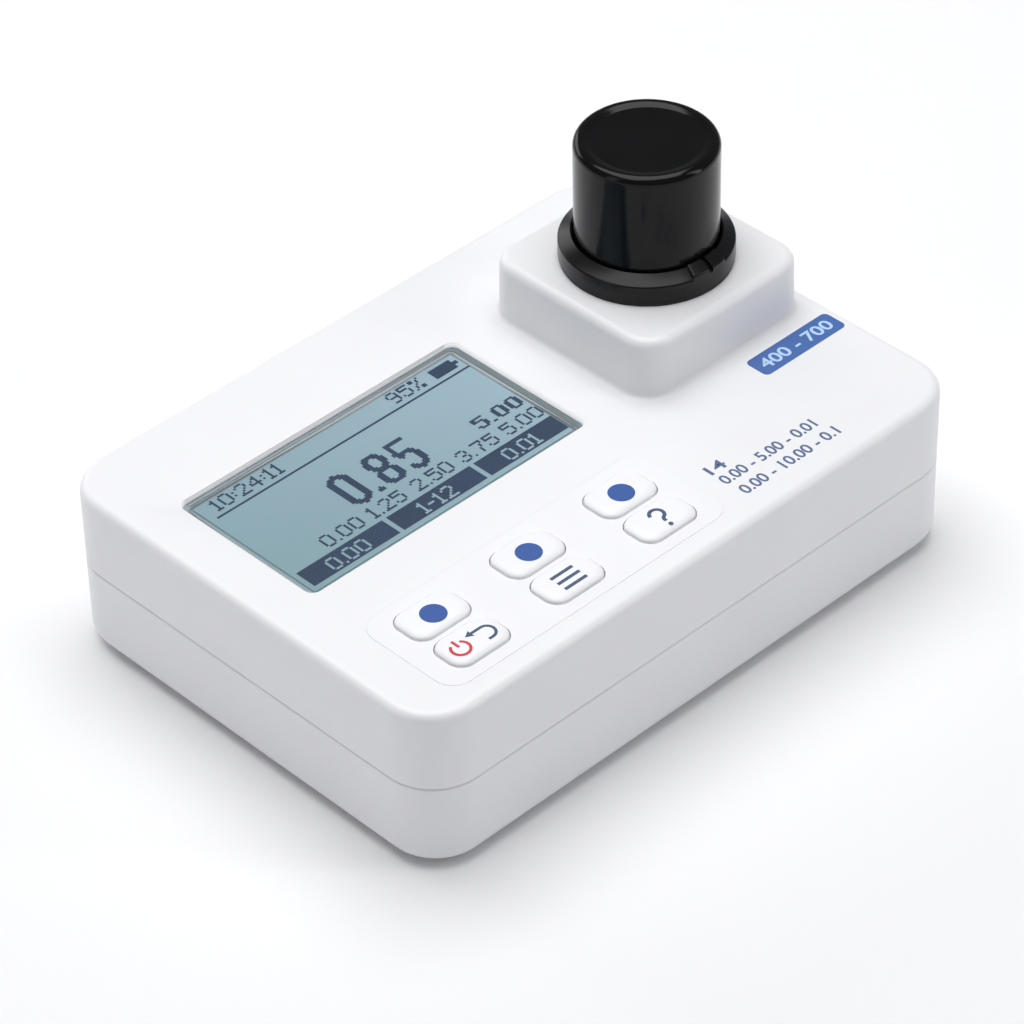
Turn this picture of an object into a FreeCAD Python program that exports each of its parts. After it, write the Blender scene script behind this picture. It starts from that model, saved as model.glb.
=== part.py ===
import FreeCAD, Part
import math
import os
import re
import Sketcher
from FreeCAD import Placement, Rotation, Vector

# Portable photometer for reading the colour of a water sample in a round glass cuvette.
# Frame: millimetres, +Z up, +X to the right of a person at the keys, -Y towards that person.
# The origin is the centre of the case's footprint, on the surface that the rubber feet stand on.

doc = FreeCAD.newDocument("Photometer")
sheet = doc.addObject("Spreadsheet::Sheet", "Sizes")

driving_sizes = (
    ("case_width", 142.5, "case from side to side"),
    ("case_depth", 102.5, "case from front to back"),
    ("corner_radius", 11.0, "upright corners of the case, seen from above"),
    ("deck_height", 37.4, "top face of the case above the table"),
    ("parting_height", 19.9, "joint between the two shells above the table"),
    ("case_wall", 2.5, "side walls of both shells"),
    ("deck_wall", 2.5, "thickness of the deck"),
    ("floor_wall", 2.5, "thickness of the bottom"),
    ("deck_edge", 2.0, "rounding of the deck's rim"),
    ("bottom_edge", 4.0, "rounding of the bottom's rim"),
    ("seam_bevel", 0.3, "bevel of each shell's outer edge at the joint"),
    ("well_side", 25.75, "right side of the case to the axis of the cuvette well"),
    ("well_back", 42.05, "back of the case to the axis of the cuvette well"),
    ("block_size", 45.1, "square block over the well, at its foot"),
    ("block_top", 50.5, "top face of the block above the table"),
    ("block_corner", 6.6, "upright corners of the block"),
    ("block_draft", 1.5, "lean of the block's sides in degrees"),
    ("block_edge", 2.0, "rounding of the block's rim"),
    ("block_foot", 1.0, "fillet where the block meets the deck"),
    ("block_wall", 2.6, "walls and roof of the block"),
    ("foot_proud", 0.8, "rubber feet below the bottom shell"),
    ("foot_sunk", 0.8, "rubber feet inside their pockets"),
    ("foot_radius", 5.0, "rubber feet"),
    ("foot_side", 21.25, "side of the case to the middle of a foot"),
    ("foot_end", 10.25, "front or back of the case to the middle of a foot"),
    ("foot_gap", 0.1, "foot to the wall of its pocket"),
    ("gasket_width", 1.0, "cord in the joint of the case"),
    ("gasket_height", 1.0, "cord in the joint of the case"),
    ("gasket_inset", 0.8, "outside of the case to the cord"),
    ("case_boss_inset", 9.75, "sides of the case to a case screw"),
    ("case_boss_radius", 4.5, "pillars for the case screws"),
    ("case_screw_radius", 1.5, "shank of a case screw"),
    ("case_screw_length", 20.0, "shank of a case screw"),
    ("case_head_radius", 2.75, "head of a case screw"),
    ("case_head_height", 2.2, "head of a case screw"),
    ("case_screw_seat", 8.0, "shoulder under a case screw's head above the table"),
    ("screw_gap", 0.05, "screw shank to its hole"),
    ("head_gap", 0.4, "screw head to its counterbore"),
    ("window_shift", -0.2, "centre of the display from midway between the left side and the block"),
    ("window_to_board", 25.7, "centre of the display to the back edge of the main board"),
    ("window_width", 71.3, "clear pane over the display"),
    ("window_depth", 37.4, "clear pane over the display"),
    ("window_corner", 2.0, "corners of the clear pane"),
    ("window_thickness", 0.8, "clear pane"),
    ("window_recess", 0.3, "pane below the deck"),
    ("window_gap", 0.15, "pane to its recess"),
    ("adhesive_thickness", 0.2, "bonding frame under the pane"),
    ("ledge_side", 1.35, "ledge under the sides of the pane"),
    ("ledge_end", 0.9, "ledge under the front and back of the pane"),
    ("lcd_thickness", 2.8, "display glass"),
    ("lcd_gap", 0.3, "display glass to what surrounds it"),
    ("backlight_thickness", 3.0, "light panel behind the display glass"),
    ("frame_wall", 1.7, "frame that holds the display on the board"),
    ("frame_height", 4.7, "frame that holds the display on the board"),
    ("board_top", 30.1, "upper face of the main board above the table"),
    ("board_thickness", 1.6, "main board"),
    ("board_side_gap", 4.75, "main board to the left wall"),
    ("board_to_well", 25.5, "main board to the axis of the well"),
    ("board_front_gap", 2.75, "main board to the front wall"),
    ("board_back_gap", 12.75, "main board to the back wall"),
    ("relief_side", 5.0, "pillar in the front left corner to the board beside it"),
    ("relief_end", 2.0, "pillar in the front left corner to the board behind it"),
    ("board_hole_left", 3.0, "left screws of the board to its edge"),
    ("board_hole_right", 3.5, "right screws of the board to its edge"),
    ("board_hole_back", 3.2, "back screws of the board to its edge"),
    ("board_hole_front", 4.0, "right front screw of the board to its edge"),
    ("board_hole_relief", 4.0, "left front screw of the board to the cut corner"),
    ("plug_height", 5.0, "wire sockets on the board"),
    ("battery_plug_side", 7.0, "battery socket to the board's left edge"),
    ("battery_plug_back", 16.0, "battery socket to the board's back edge"),
    ("sensor_plug_side", 4.0, "sensor socket to the board's right edge"),
    ("sensor_plug_front", 26.0, "sensor socket to the board's front edge"),
    ("plug_width", 6.0, "wire sockets on the board, across"),
    ("plug_length", 8.0, "wire sockets on the board, along"),
    ("board_boss_radius", 2.6, "pillars that the main board is screwed to"),
    ("board_screw_radius", 1.0, "shank of a board screw"),
    ("board_screw_length", 4.5, "shank of a board screw"),
    ("small_head_radius", 1.9, "head of a small screw"),
    ("small_head_height", 1.3, "head of a small screw"),
    ("keypad_front", 5.25, "front of the case to the key panel"),
    ("keypad_width", 72.2, "key panel"),
    ("keypad_depth", 25.3, "key panel"),
    ("keypad_corner", 4.5, "corners of the key panel"),
    ("overlay_thickness", 0.5, "key panel"),
    ("overlay_gap", 0.15, "key panel to its recess"),
    ("column_pitch", 24.3, "from one column of keys to the next"),
    ("function_row", 5.05, "middle of the key panel to the upper row of keys"),
    ("command_row", 5.35, "middle of the key panel to the lower row of keys"),
    ("key_width", 13.8, "key"),
    ("function_key_depth", 9.0, "upper key, front to back"),
    ("command_key_depth", 8.6, "lower key, front to back"),
    ("key_corner", 3.0, "corners of a key"),
    ("key_proud", 1.0, "key above the deck"),
    ("key_edge", 0.7, "rounding of a key's rim"),
    ("key_gap", 0.3, "key to its opening"),
    ("key_travel", 0.6, "how far a key goes down"),
    ("ear_reach", 1.2, "ears that keep a key from falling out"),
    ("ear_height", 0.7, "ears that keep a key from falling out"),
    ("ear_gap", 0.2, "ear to the underside of the deck"),
    ("mat_thickness", 0.8, "rubber mat under the keys"),
    ("mat_side", 1.5, "rubber mat outside its domes, sideways"),
    ("mat_end", 0.75, "rubber mat outside its domes, front and back"),
    ("dome_radius", 4.2, "rubber dome at its foot"),
    ("dome_slope", 1.2, "rubber dome, foot radius less top radius"),
    ("dome_gap", 0.05, "pressed key to its dome"),
    ("cuvette_radius", 12.3, "glass cuvette, outside"),
    ("cuvette_wall", 1.3, "glass cuvette"),
    ("cuvette_base", 1.5, "bottom of the glass cuvette"),
    ("cuvette_shoulder", 42.5, "straight wall of the glass cuvette"),
    ("cuvette_height", 53.0, "glass cuvette with its neck"),
    ("shoulder_rise", 1.6, "slope between wall and neck"),
    ("neck_radius", 10.3, "neck of the cuvette, outside"),
    ("neck_wall", 1.5, "neck of the cuvette"),
    ("cuvette_gap", 0.3, "cuvette to the well"),
    ("well_floor", 7.0, "floor of the well above the table"),
    ("holder_wall", 1.8, "wall of the well"),
    ("holder_base", 2.0, "floor thickness of the well"),
    ("holder_top_gap", 0.3, "top of the well below the top of the block"),
    ("flange_size", 38.0, "square flange that the well hangs from"),
    ("flange_thickness", 3.0, "square flange that the well hangs from"),
    ("flange_top", 44.0, "upper face of that flange above the table"),
    ("holder_screw_spread", 15.3, "flange screws from the well's axis"),
    ("holder_screw_length", 6.0, "shank of a flange screw"),
    ("ring_radius", 17.44, "ring round the well's mouth"),
    ("ring_rim", 4.7, "outer edge of the ring above the block"),
    ("ring_crest", 6.3, "inner edge of the ring above the block"),
    ("ring_edge", 0.5, "rounding of the ring's outer edge"),
    ("spigot_radius", 16.2, "part of the ring that passes through the block's roof"),
    ("spigot_length", 3.5, "part of the ring below the top of the block"),
    ("spigot_gap", 0.1, "spigot to its hole and to the well"),
    ("seal_thickness", 0.5, "flat seal under the ring"),
    ("seal_inset", 0.2, "flat seal from the ring's outer edge"),
    ("lug_half_angle", 15.0, "index lug on the ring, either side of its middle, in degrees"),
    ("lug_rise", 0.8, "index lug above the ring's slope"),
    ("index_groove", 1.1, "width of the groove in the index lug"),
    ("shield_radius", 14.34, "light shield, outside"),
    ("shield_wall", 1.5, "light shield"),
    ("shield_roof", 2.0, "top of the light shield"),
    ("shield_top", 78.0, "light shield above the table"),
    ("shield_edge", 1.6, "rounding of the light shield's top"),
    ("shield_dish", 0.5, "hollow in the light shield's top"),
    ("shield_gap", 0.31, "light shield to the ring"),
    ("cap_radius", 12.3, "screw cap of the cuvette"),
    ("cap_gap", 0.3, "screw cap to the neck"),
    ("cap_skirt", 8.5, "screw cap below the rim of the cuvette"),
    ("cap_roof", 2.0, "top of the screw cap"),
    ("cap_grooves", 24, "grip grooves round the screw cap"),
    ("cap_groove_radius", 0.55, "grip groove"),
    ("liner_thickness", 1.0, "sealing disc in the screw cap"),
    ("beam_height", 18.5, "light beam above the table"),
    ("port_radius", 3.0, "holes that let the beam through the well's wall"),
    ("pad_size", 16.0, "flat pads on the well that carry the optics"),
    ("lamp_reach", 16.5, "lamp side pad from the well's axis"),
    ("sensor_reach", 15.5, "sensor side pad from the well's axis"),
    ("lamp_length", 19.0, "lamp housing"),
    ("lamp_back_wall", 1.5, "lamp housing, wall behind the bore"),
    ("lamp_bore", 4.8, "lamp housing"),
    ("led_radius", 2.5, "lamp"),
    ("led_length", 5.6, "straight part of the lamp"),
    ("lens_radius", 4.6, "collimating lens"),
    ("lens_thickness", 2.4, "collimating lens"),
    ("lens_bulge_radius", 9.0, "collimating lens, round face"),
    ("lens_gap", 0.6, "tip of the lamp to the lens"),
    ("splitter_reach", 4.6, "glass plate to the well's pad"),
    ("splitter_size", 7.4, "glass plate that sends part of the beam aside"),
    ("splitter_thickness", 0.8, "glass plate that sends part of the beam aside"),
    ("detector_radius", 4.0, "light sensor's can"),
    ("detector_length", 2.9, "light sensor's can"),
    ("reference_radius", 2.6, "reference sensor's can"),
    ("reference_length", 3.2, "reference sensor's can"),
    ("filter_radius", 4.4, "colour filter"),
    ("filter_thickness", 2.0, "colour filter"),
    ("optics_gap", 0.2, "optical pieces to their bores"),
    ("sensor_length", 6.2, "sensor housing"),
    ("small_board_thickness", 1.2, "lamp and sensor boards"),
    ("cell_radius", 7.25, "AA cell"),
    ("cell_can", 49.5, "AA cell without its nub"),
    ("cell_nub", 1.0, "AA cell"),
    ("nub_radius", 2.75, "AA cell"),
    ("cell_pitch", 15.1, "from one cell to the next"),
    ("cell_axis", 12.9, "cells above the table"),
    ("bay_clear", 4.1, "battery bay to the lamp housing"),
    ("bay_y", 0.0, "centre of the battery bay"),
    ("bay_spare", 0.35, "cells to the side walls and roof of the bay"),
    ("bay_wall", 1.5, "walls and roof of the bay"),
    ("contact_thickness", 0.4, "battery contacts"),
    ("contact_size", 11.0, "battery contacts"),
    ("contact_gap", 0.1, "spring and nub to the contact plates"),
    ("spring_length", 6.3, "battery spring, pressed"),
    ("spring_wire", 0.4, "battery spring, radius of its wire"),
    ("spring_radius", 4.6, "battery spring at its foot"),
    ("spring_pitch", 1.8, "battery spring"),
    ("cover_side", 7.6, "battery cover past the sides of the bay"),
    ("cover_end", 3.3, "battery cover past the front and back of the bay"),
    ("cover_thickness", 2.2, "battery cover"),
    ("cover_corner", 4.0, "corners of the battery cover"),
    ("cover_gap", 0.25, "battery cover to its recess"),
    ("cover_seal_thickness", 0.8, "seal of the battery cover"),
    ("cover_seal_width", 1.6, "seal of the battery cover"),
    ("cover_seal_inset", 0.4, "mouth of the bay to the seal"),
    ("ledge_thickness", 1.5, "ledge round the mouth of the bay"),
    ("cover_screw_inset", 3.1, "side edges of the battery cover to its screws"),
    ("cover_screw_y", 12.0, "cover screws from the middle of the bay, front and back"),
    ("cover_screw_radius", 1.25, "shank of a cover screw"),
    ("cover_screw_length", 8.5, "shank of a cover screw"),
    ("cover_boss_radius", 3.0, "pillars for the cover screws"),
    ("cover_boss_roof", 2.0, "solid end of a pillar for a cover screw"),
    ("ledge_margin", 1.5, "ledge of the bay past the battery cover"),
    ("cover_post_radius", 2.3, "posts of the cover that stand against the ledge"),
    ("slot_width", 0.6, "cross in a screw head"),
    ("slot_depth", 0.8, "cross in a screw head"),
    ("lead_radius", 0.6, "insulated wires"),
    ("reservoir_radius", 3.0, "round capacitor on the board"),
    ("reservoir_height", 5.0, "round capacitor on the board"),
    ("past", 1.0, "how far a cut reaches past the face that it opens"),
    ("ribbon_width", 24.0, "flat cable of the display"),
    ("ribbon_thickness", 0.25, "flat cable of the display"),
    ("ribbon_bend", 0.8, "flat cable of the display"),
    ("ribbon_rise", 0.5, "flat cable above the light panel"),
    ("ribbon_reach", 2.2, "flat cable in front of the display's frame"),
    ("ribbon_socket_depth", 2.6, "socket of the flat cable"),
    ("ribbon_socket_height", 1.5, "socket of the flat cable"),
    ("buzzer_radius", 6.0, "buzzer"),
    ("buzzer_height", 5.0, "buzzer"),
    ("buzzer_side", 8.5, "buzzer to the board's right edge"),
    ("buzzer_front", 13.0, "buzzer to the board's front edge"),
    ("leaf_width", 4.0, "leaf spring that steadies the cuvette"),
    ("leaf_thickness", 0.4, "leaf spring that steadies the cuvette"),
    ("leaf_length", 26.0, "leaf spring that steadies the cuvette"),
    ("leaf_tab", 3.5, "flat ends of the leaf spring"),
    ("leaf_base", 10.0, "foot of the leaf spring above the table"),
    ("leaf_gap", 0.15, "leaf spring to the cuvette"),
)

# Sizes and places that follow from those above.
derived_sizes = {
    "well_x": "case_width / 2 - well_side",
    "well_y": "case_depth / 2 - well_back",
    "foot_x": "case_width / 2 - foot_side",
    "foot_y": "case_depth / 2 - foot_end",
    "case_boss_x": "case_width / 2 - case_boss_inset",
    "case_boss_y": "case_depth / 2 - case_boss_inset",
    "board_left": "case_wall + board_side_gap - case_width / 2",
    "board_right": "well_x - board_to_well",
    "board_front": "case_wall + board_front_gap - case_depth / 2",
    "board_back": "case_depth / 2 - case_wall - board_back_gap",
    "board_underside": "board_top - board_thickness",
    "window_x": "(well_x - block_size / 2 - case_width / 2) / 2 + window_shift",
    "window_y": "board_back - window_to_board",
    "window_seat": "deck_height - window_recess - window_thickness - adhesive_thickness",
    "opening_width": "window_width - 2 * ledge_side",
    "opening_depth": "window_depth - 2 * ledge_end",
    "lcd_width": "opening_width - 2 * lcd_gap",
    "lcd_depth": "opening_depth - 2 * lcd_gap",
    "front_of_glass": "window_y - lcd_depth / 2",
    "ribbon_height": "board_top + backlight_thickness + ribbon_rise",
    "ribbon_drop": "front_of_glass - lcd_gap - frame_wall - ribbon_reach",
    "keypad_x": "window_x",
    "keypad_y": "keypad_front + keypad_depth / 2 - case_depth / 2",
    "function_row_y": "keypad_y + function_row",
    "command_row_y": "keypad_y - command_row",
    "key_base": "deck_height - deck_wall - ear_gap - ear_height",
    "deck_underside": "deck_height - deck_wall",
    "floor_top": "foot_proud + floor_wall",
    "cover_roof": "foot_proud + cover_thickness + cover_seal_thickness",
    "ledge_top": "cover_roof + ledge_thickness",
    "bay_length": "2 * contact_thickness + spring_length + 2 * contact_gap + cell_can + cell_nub",
    "bay_depth": "2 * cell_pitch + 2 * cell_radius + 2 * bay_spare",
    "bay_ceiling": "cell_axis + cell_radius + bay_spare",
    "bay_x": "lamp_back - bay_clear - bay_wall - bay_length / 2",
    "bay_left": "bay_x - bay_length / 2",
    "bay_right": "bay_x + bay_length / 2",
    "cover_length": "bay_length + 2 * cover_side",
    "cover_depth": "bay_depth + 2 * cover_end",
    "cover_screw_x": "cover_length / 2 - cover_screw_inset",
    "lamp_back": "well_x - lamp_reach - lamp_length",
    "lens_x": "lamp_back + led_length + led_radius + lens_gap",
    "splitter_x": "well_x - lamp_reach - splitter_reach",
    "splitter_height": "0.86 * splitter_size",
    "battery_plug_x": "board_left + battery_plug_side",
    "battery_plug_y": "board_back - battery_plug_back",
    "sensor_plug_x": "board_right - sensor_plug_side",
    "sensor_plug_y": "board_front + sensor_plug_front",
    "buzzer_x": "board_right - buzzer_side",
    "buzzer_y": "board_front + buzzer_front",
}

aliases = set()
for row, (alias, value, meaning) in enumerate(driving_sizes, 1):
    sheet.set(f"A{row}", meaning)
    sheet.set(f"B{row}", str(value))
    sheet.setAlias(f"B{row}", alias)
    aliases.add(alias)
doc.recompute()

subparts = []


def bound(text):
    """Write out the derived sizes in an expression and point the driving ones at the sheet."""
    def written_out(word):
        name = word.group()
        if name in derived_sizes:
            return f"({bound(derived_sizes[name])})"
        return "Sizes." + name if name in aliases else name
    return re.sub(r"[a-z_]+", written_out, text)


def size(text):
    """Work an expression of size names out to a number."""
    return float(sheet.evalExpression(bound(text)))


def bind(item, **expressions):
    """Tie an object's properties to expressions of size names."""
    for name, text in expressions.items():
        item.setExpression(name, bound(text))


def place(item, x="0", y="0", z="0", turn=None, path="Placement"):
    """Put an object at a place worked out from the sheet, turned first if need be."""
    if turn is not None:
        setattr(item, path, Placement(Vector(), turn))
    for axis, text in zip("xyz", (x, y, z)):
        item.setExpression(f"{path}.Base.{axis}", bound(text))


def keep(item, label):
    """Count an object as a finished sub-part under its own name."""
    item.Label = label
    subparts.append(item)
    return item


# Plain solids and what is cut from them or joined to them.

def box(name, width, depth, height, x, y, z):
    """A box centred on x and y that stands on z."""
    item = doc.addObject("Part::Box", name)
    bind(item, Length=width, Width=depth, Height=height)
    place(item, f"({x}) - ({width}) / 2", f"({y}) - ({depth}) / 2", z)
    return item


upright = Rotation()
along_x = Rotation(Vector(0, 1, 0), 90)
along_back = Rotation(Vector(1, 0, 0), -90)


def rod(name, radius, length, x, y, z, turn=upright):
    """A round bar that starts at x, y, z."""
    item = doc.addObject("Part::Cylinder", name)
    bind(item, Radius=radius, Height=length)
    place(item, x, y, z, turn)
    return item


def join(name, pieces):
    item = doc.addObject("Part::MultiFuse", name)
    item.Shapes = pieces
    return item


def cut(name, base, tools):
    """Take one tool, or several joined, from a solid."""
    item = doc.addObject("Part::Cut", name)
    item.Base = base
    item.Tool = tools[0] if len(tools) == 1 else join(name + "_tools", tools)
    return item


def common(name, first, second):
    item = doc.addObject("Part::Common", name)
    item.Base = first
    item.Tool = second
    return item


def group(name, pieces):
    """Keep alike pieces as separate solids under one name."""
    item = doc.addObject("Part::Compound", name)
    item.Links = pieces
    return keep(item, name)


# Bodies built from constrained sketches.

def new_body(name):
    return doc.addObject("PartDesign::Body", name)


def sketch_on(body, name, role="XY_Plane", x="0", y="0", z="0"):
    """A sketch on one of the body's own planes, shifted by x and y in it and z off it."""
    plane = next(feature for feature in body.Origin.OriginFeatures if feature.Role == role)
    sketch = body.newObject("Sketcher::SketchObject", name + "_sketch")
    sketch.AttachmentSupport = [(plane, "")]
    sketch.MapMode = "FlatFace"
    place(sketch, x, y, z, path="AttachmentOffset")
    return sketch


def measure(sketch, kind, name, geometry, text):
    """Add a dimension to a sketch and tie it to the sheet."""
    index = sketch.addConstraint(Sketcher.Constraint(kind, *geometry, size(text)))
    sketch.renameConstraint(index, name)
    sketch.setExpression(f"Constraints.{name}", bound(text))


def rounded_rectangle(sketch, width, depth, corner):
    """Draw a rectangle with round corners about the sketch's origin."""
    half_width = size(width) / 2
    half_depth = size(depth) / 2
    radius = size(corner)
    flat_x = half_width - radius
    flat_y = half_depth - radius
    sides = (
        (Vector(-flat_x, -half_depth, 0), Vector(flat_x, -half_depth, 0)),
        (Vector(half_width, -flat_y, 0), Vector(half_width, flat_y, 0)),
        (Vector(flat_x, half_depth, 0), Vector(-flat_x, half_depth, 0)),
        (Vector(-half_width, flat_y, 0), Vector(-half_width, -flat_y, 0)),
    )
    centres = (Vector(flat_x, -flat_y, 0), Vector(flat_x, flat_y, 0), Vector(-flat_x, flat_y, 0),
               Vector(-flat_x, -flat_y, 0))
    for start, end in sides:
        sketch.addGeometry(Part.LineSegment(start, end), False)
    for quarter, centre in enumerate(centres):
        circle = Part.Circle(centre, Vector(0, 0, 1), radius)
        start_angle = (quarter - 1) * math.pi / 2
        sketch.addGeometry(Part.ArcOfCircle(circle, start_angle, start_angle + math.pi / 2), False)
    for side in range(4):
        sketch.addConstraint(Sketcher.Constraint("Tangent", side, 2, side + 4, 1))
        sketch.addConstraint(Sketcher.Constraint("Tangent", side + 4, 2, (side + 1) % 4, 1))
    sketch.addConstraint(Sketcher.Constraint("Horizontal", 0))
    sketch.addConstraint(Sketcher.Constraint("Vertical", 1))
    sketch.addConstraint(Sketcher.Constraint("Horizontal", 2))
    sketch.addConstraint(Sketcher.Constraint("Vertical", 3))
    for corner_arc in (5, 6):
        sketch.addConstraint(Sketcher.Constraint("Equal", 4, corner_arc))
    sketch.addConstraint(Sketcher.Constraint("Symmetric", 4, 3, 6, 3, -1, 1))
    measure(sketch, "DistanceX", "width", (3, 1, 1, 1), width)
    measure(sketch, "DistanceY", "depth", (0, 1, 2, 1), depth)
    measure(sketch, "Radius", "corner", (4,), corner)


def outline(sketch, points):
    """Draw a closed outline through points that are each tied to the sheet."""
    corners = [Vector(size(across), size(up), 0) for across, up in points]
    count = len(points)
    for index in range(count):
        sketch.addGeometry(Part.LineSegment(corners[index], corners[(index + 1) % count]), False)
    for index in range(count):
        sketch.addConstraint(Sketcher.Constraint("Coincident", index, 2, (index + 1) % count, 1))
    for index, (across, up) in enumerate(points):
        if corners[index].x == 0:
            sketch.addConstraint(Sketcher.Constraint("PointOnObject", index, 1, -2))
        else:
            measure(sketch, "DistanceX", f"across_{index}", (-1, 1, index, 1), across)
        if corners[index].y == 0:
            sketch.addConstraint(Sketcher.Constraint("PointOnObject", index, 1, -1))
        else:
            measure(sketch, "DistanceY", f"up_{index}", (-1, 1, index, 1), up)


def pad(body, name, sketch, height, lean=None):
    """Raise a sketch into a solid, its sides leaning inwards by so many degrees if need be."""
    feature = body.newObject("PartDesign::Pad", name)
    feature.Profile = sketch
    bind(feature, Length=height)
    if lean is not None:
        bind(feature, TaperAngle=f"-({lean})")
    sketch.Visibility = False
    doc.recompute()
    return feature


def plate_pad(body, name, width, depth, corner, x, y, z, height, lean=None):
    sketch = sketch_on(body, name, x=x, y=y, z=z)
    rounded_rectangle(sketch, width, depth, corner)
    return pad(body, name, sketch, height, lean)


def plate(name, width, depth, corner, x, y, z, height):
    """A plate with round upright corners, raised from a sketch of its own."""
    sketch = doc.addObject("Sketcher::SketchObject", name + "_sketch")
    rounded_rectangle(sketch, width, depth, corner)
    place(sketch, x, y, z)
    item = doc.addObject("Part::Extrusion", name)
    item.Base = sketch
    item.DirMode = "Custom"
    item.Dir = Vector(0, 0, 1)
    item.Solid = True
    bind(item, LengthFwd=height)
    return item


def frame(name, width, depth, corner, inset, x, y, z, height):
    """A plate with a plate-shaped hole that leaves a border so wide."""
    outer = plate(name + "_outer", width, depth, corner, x, y, z, height)
    inner = plate(name + "_inner", f"({width}) - 2 * ({inset})", f"({depth}) - 2 * ({inset})",
                  f"max(({corner}) - ({inset}); 0.2)", x, y, z, height)
    return cut(name, outer, [inner])


def edges_where(feature, test):
    return [f"Edge{number}" for number, edge in enumerate(feature.Shape.Edges, 1) if test(edge)]


def at_height(text):
    """A test for edges that lie flat at one height."""
    height = size(text)
    return lambda edge: abs(edge.BoundBox.ZMin - height) < 1e-4 and abs(edge.BoundBox.ZMax - height) < 1e-4


def dress(body, kind, name, test, amount):
    """Round or bevel the edges of the body's last feature that pass a test."""
    doc.recompute()
    base = body.Tip
    feature = body.newObject(f"PartDesign::{kind}", name)
    feature.Base = (base, edges_where(base, test))
    bind(feature, **{"Radius" if kind == "Fillet" else "Size": amount})
    doc.recompute()
    return feature


def turned(body, name, points):
    """Turn an outline of radius and height round the body's upright axis."""
    sketch = sketch_on(body, name, role="XZ_Plane")
    outline(sketch, points)
    feature = body.newObject("PartDesign::Revolution", name)
    feature.Profile = sketch
    feature.ReferenceAxis = (sketch, ["V_Axis"])
    feature.Angle = 360
    doc.recompute()
    return feature


def circle_at(radius_text, height_text):
    """A test for the full circle of one radius at one height about the body's axis."""
    radius = size(radius_text)
    height = size(height_text)

    def test(edge):
        curve = edge.Curve
        if not isinstance(curve, Part.Circle):
            return False
        return abs(curve.Radius - radius) < 1e-4 and abs(curve.Center.z - height) < 1e-4
    return test


corners = tuple((side, end) for side in ("-1", "1") for end in ("-1", "1"))


# The two shells of the case, moulded in white ABS.

relief_back = "case_boss_radius + relief_end - case_boss_y"
board_bosses = (
    ("board_left + board_hole_left", "board_back - board_hole_back"),
    ("board_right - board_hole_right", "board_back - board_hole_back"),
    ("board_right - board_hole_right", "board_front + board_hole_front"),
    ("board_left + board_hole_left", f"{relief_back} + board_hole_relief"),
)
keys = (
    ("key_function_left", "-1", "function_row_y", "function_key_depth"),
    ("key_function_middle", "0", "function_row_y", "function_key_depth"),
    ("key_function_right", "1", "function_row_y", "function_key_depth"),
    ("key_power", "-1", "command_row_y", "command_key_depth"),
    ("key_menu", "0", "command_row_y", "command_key_depth"),
    ("key_help", "1", "command_row_y", "command_key_depth"),
)


def key_x(column):
    return f"keypad_x + ({column}) * column_pitch"


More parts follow.
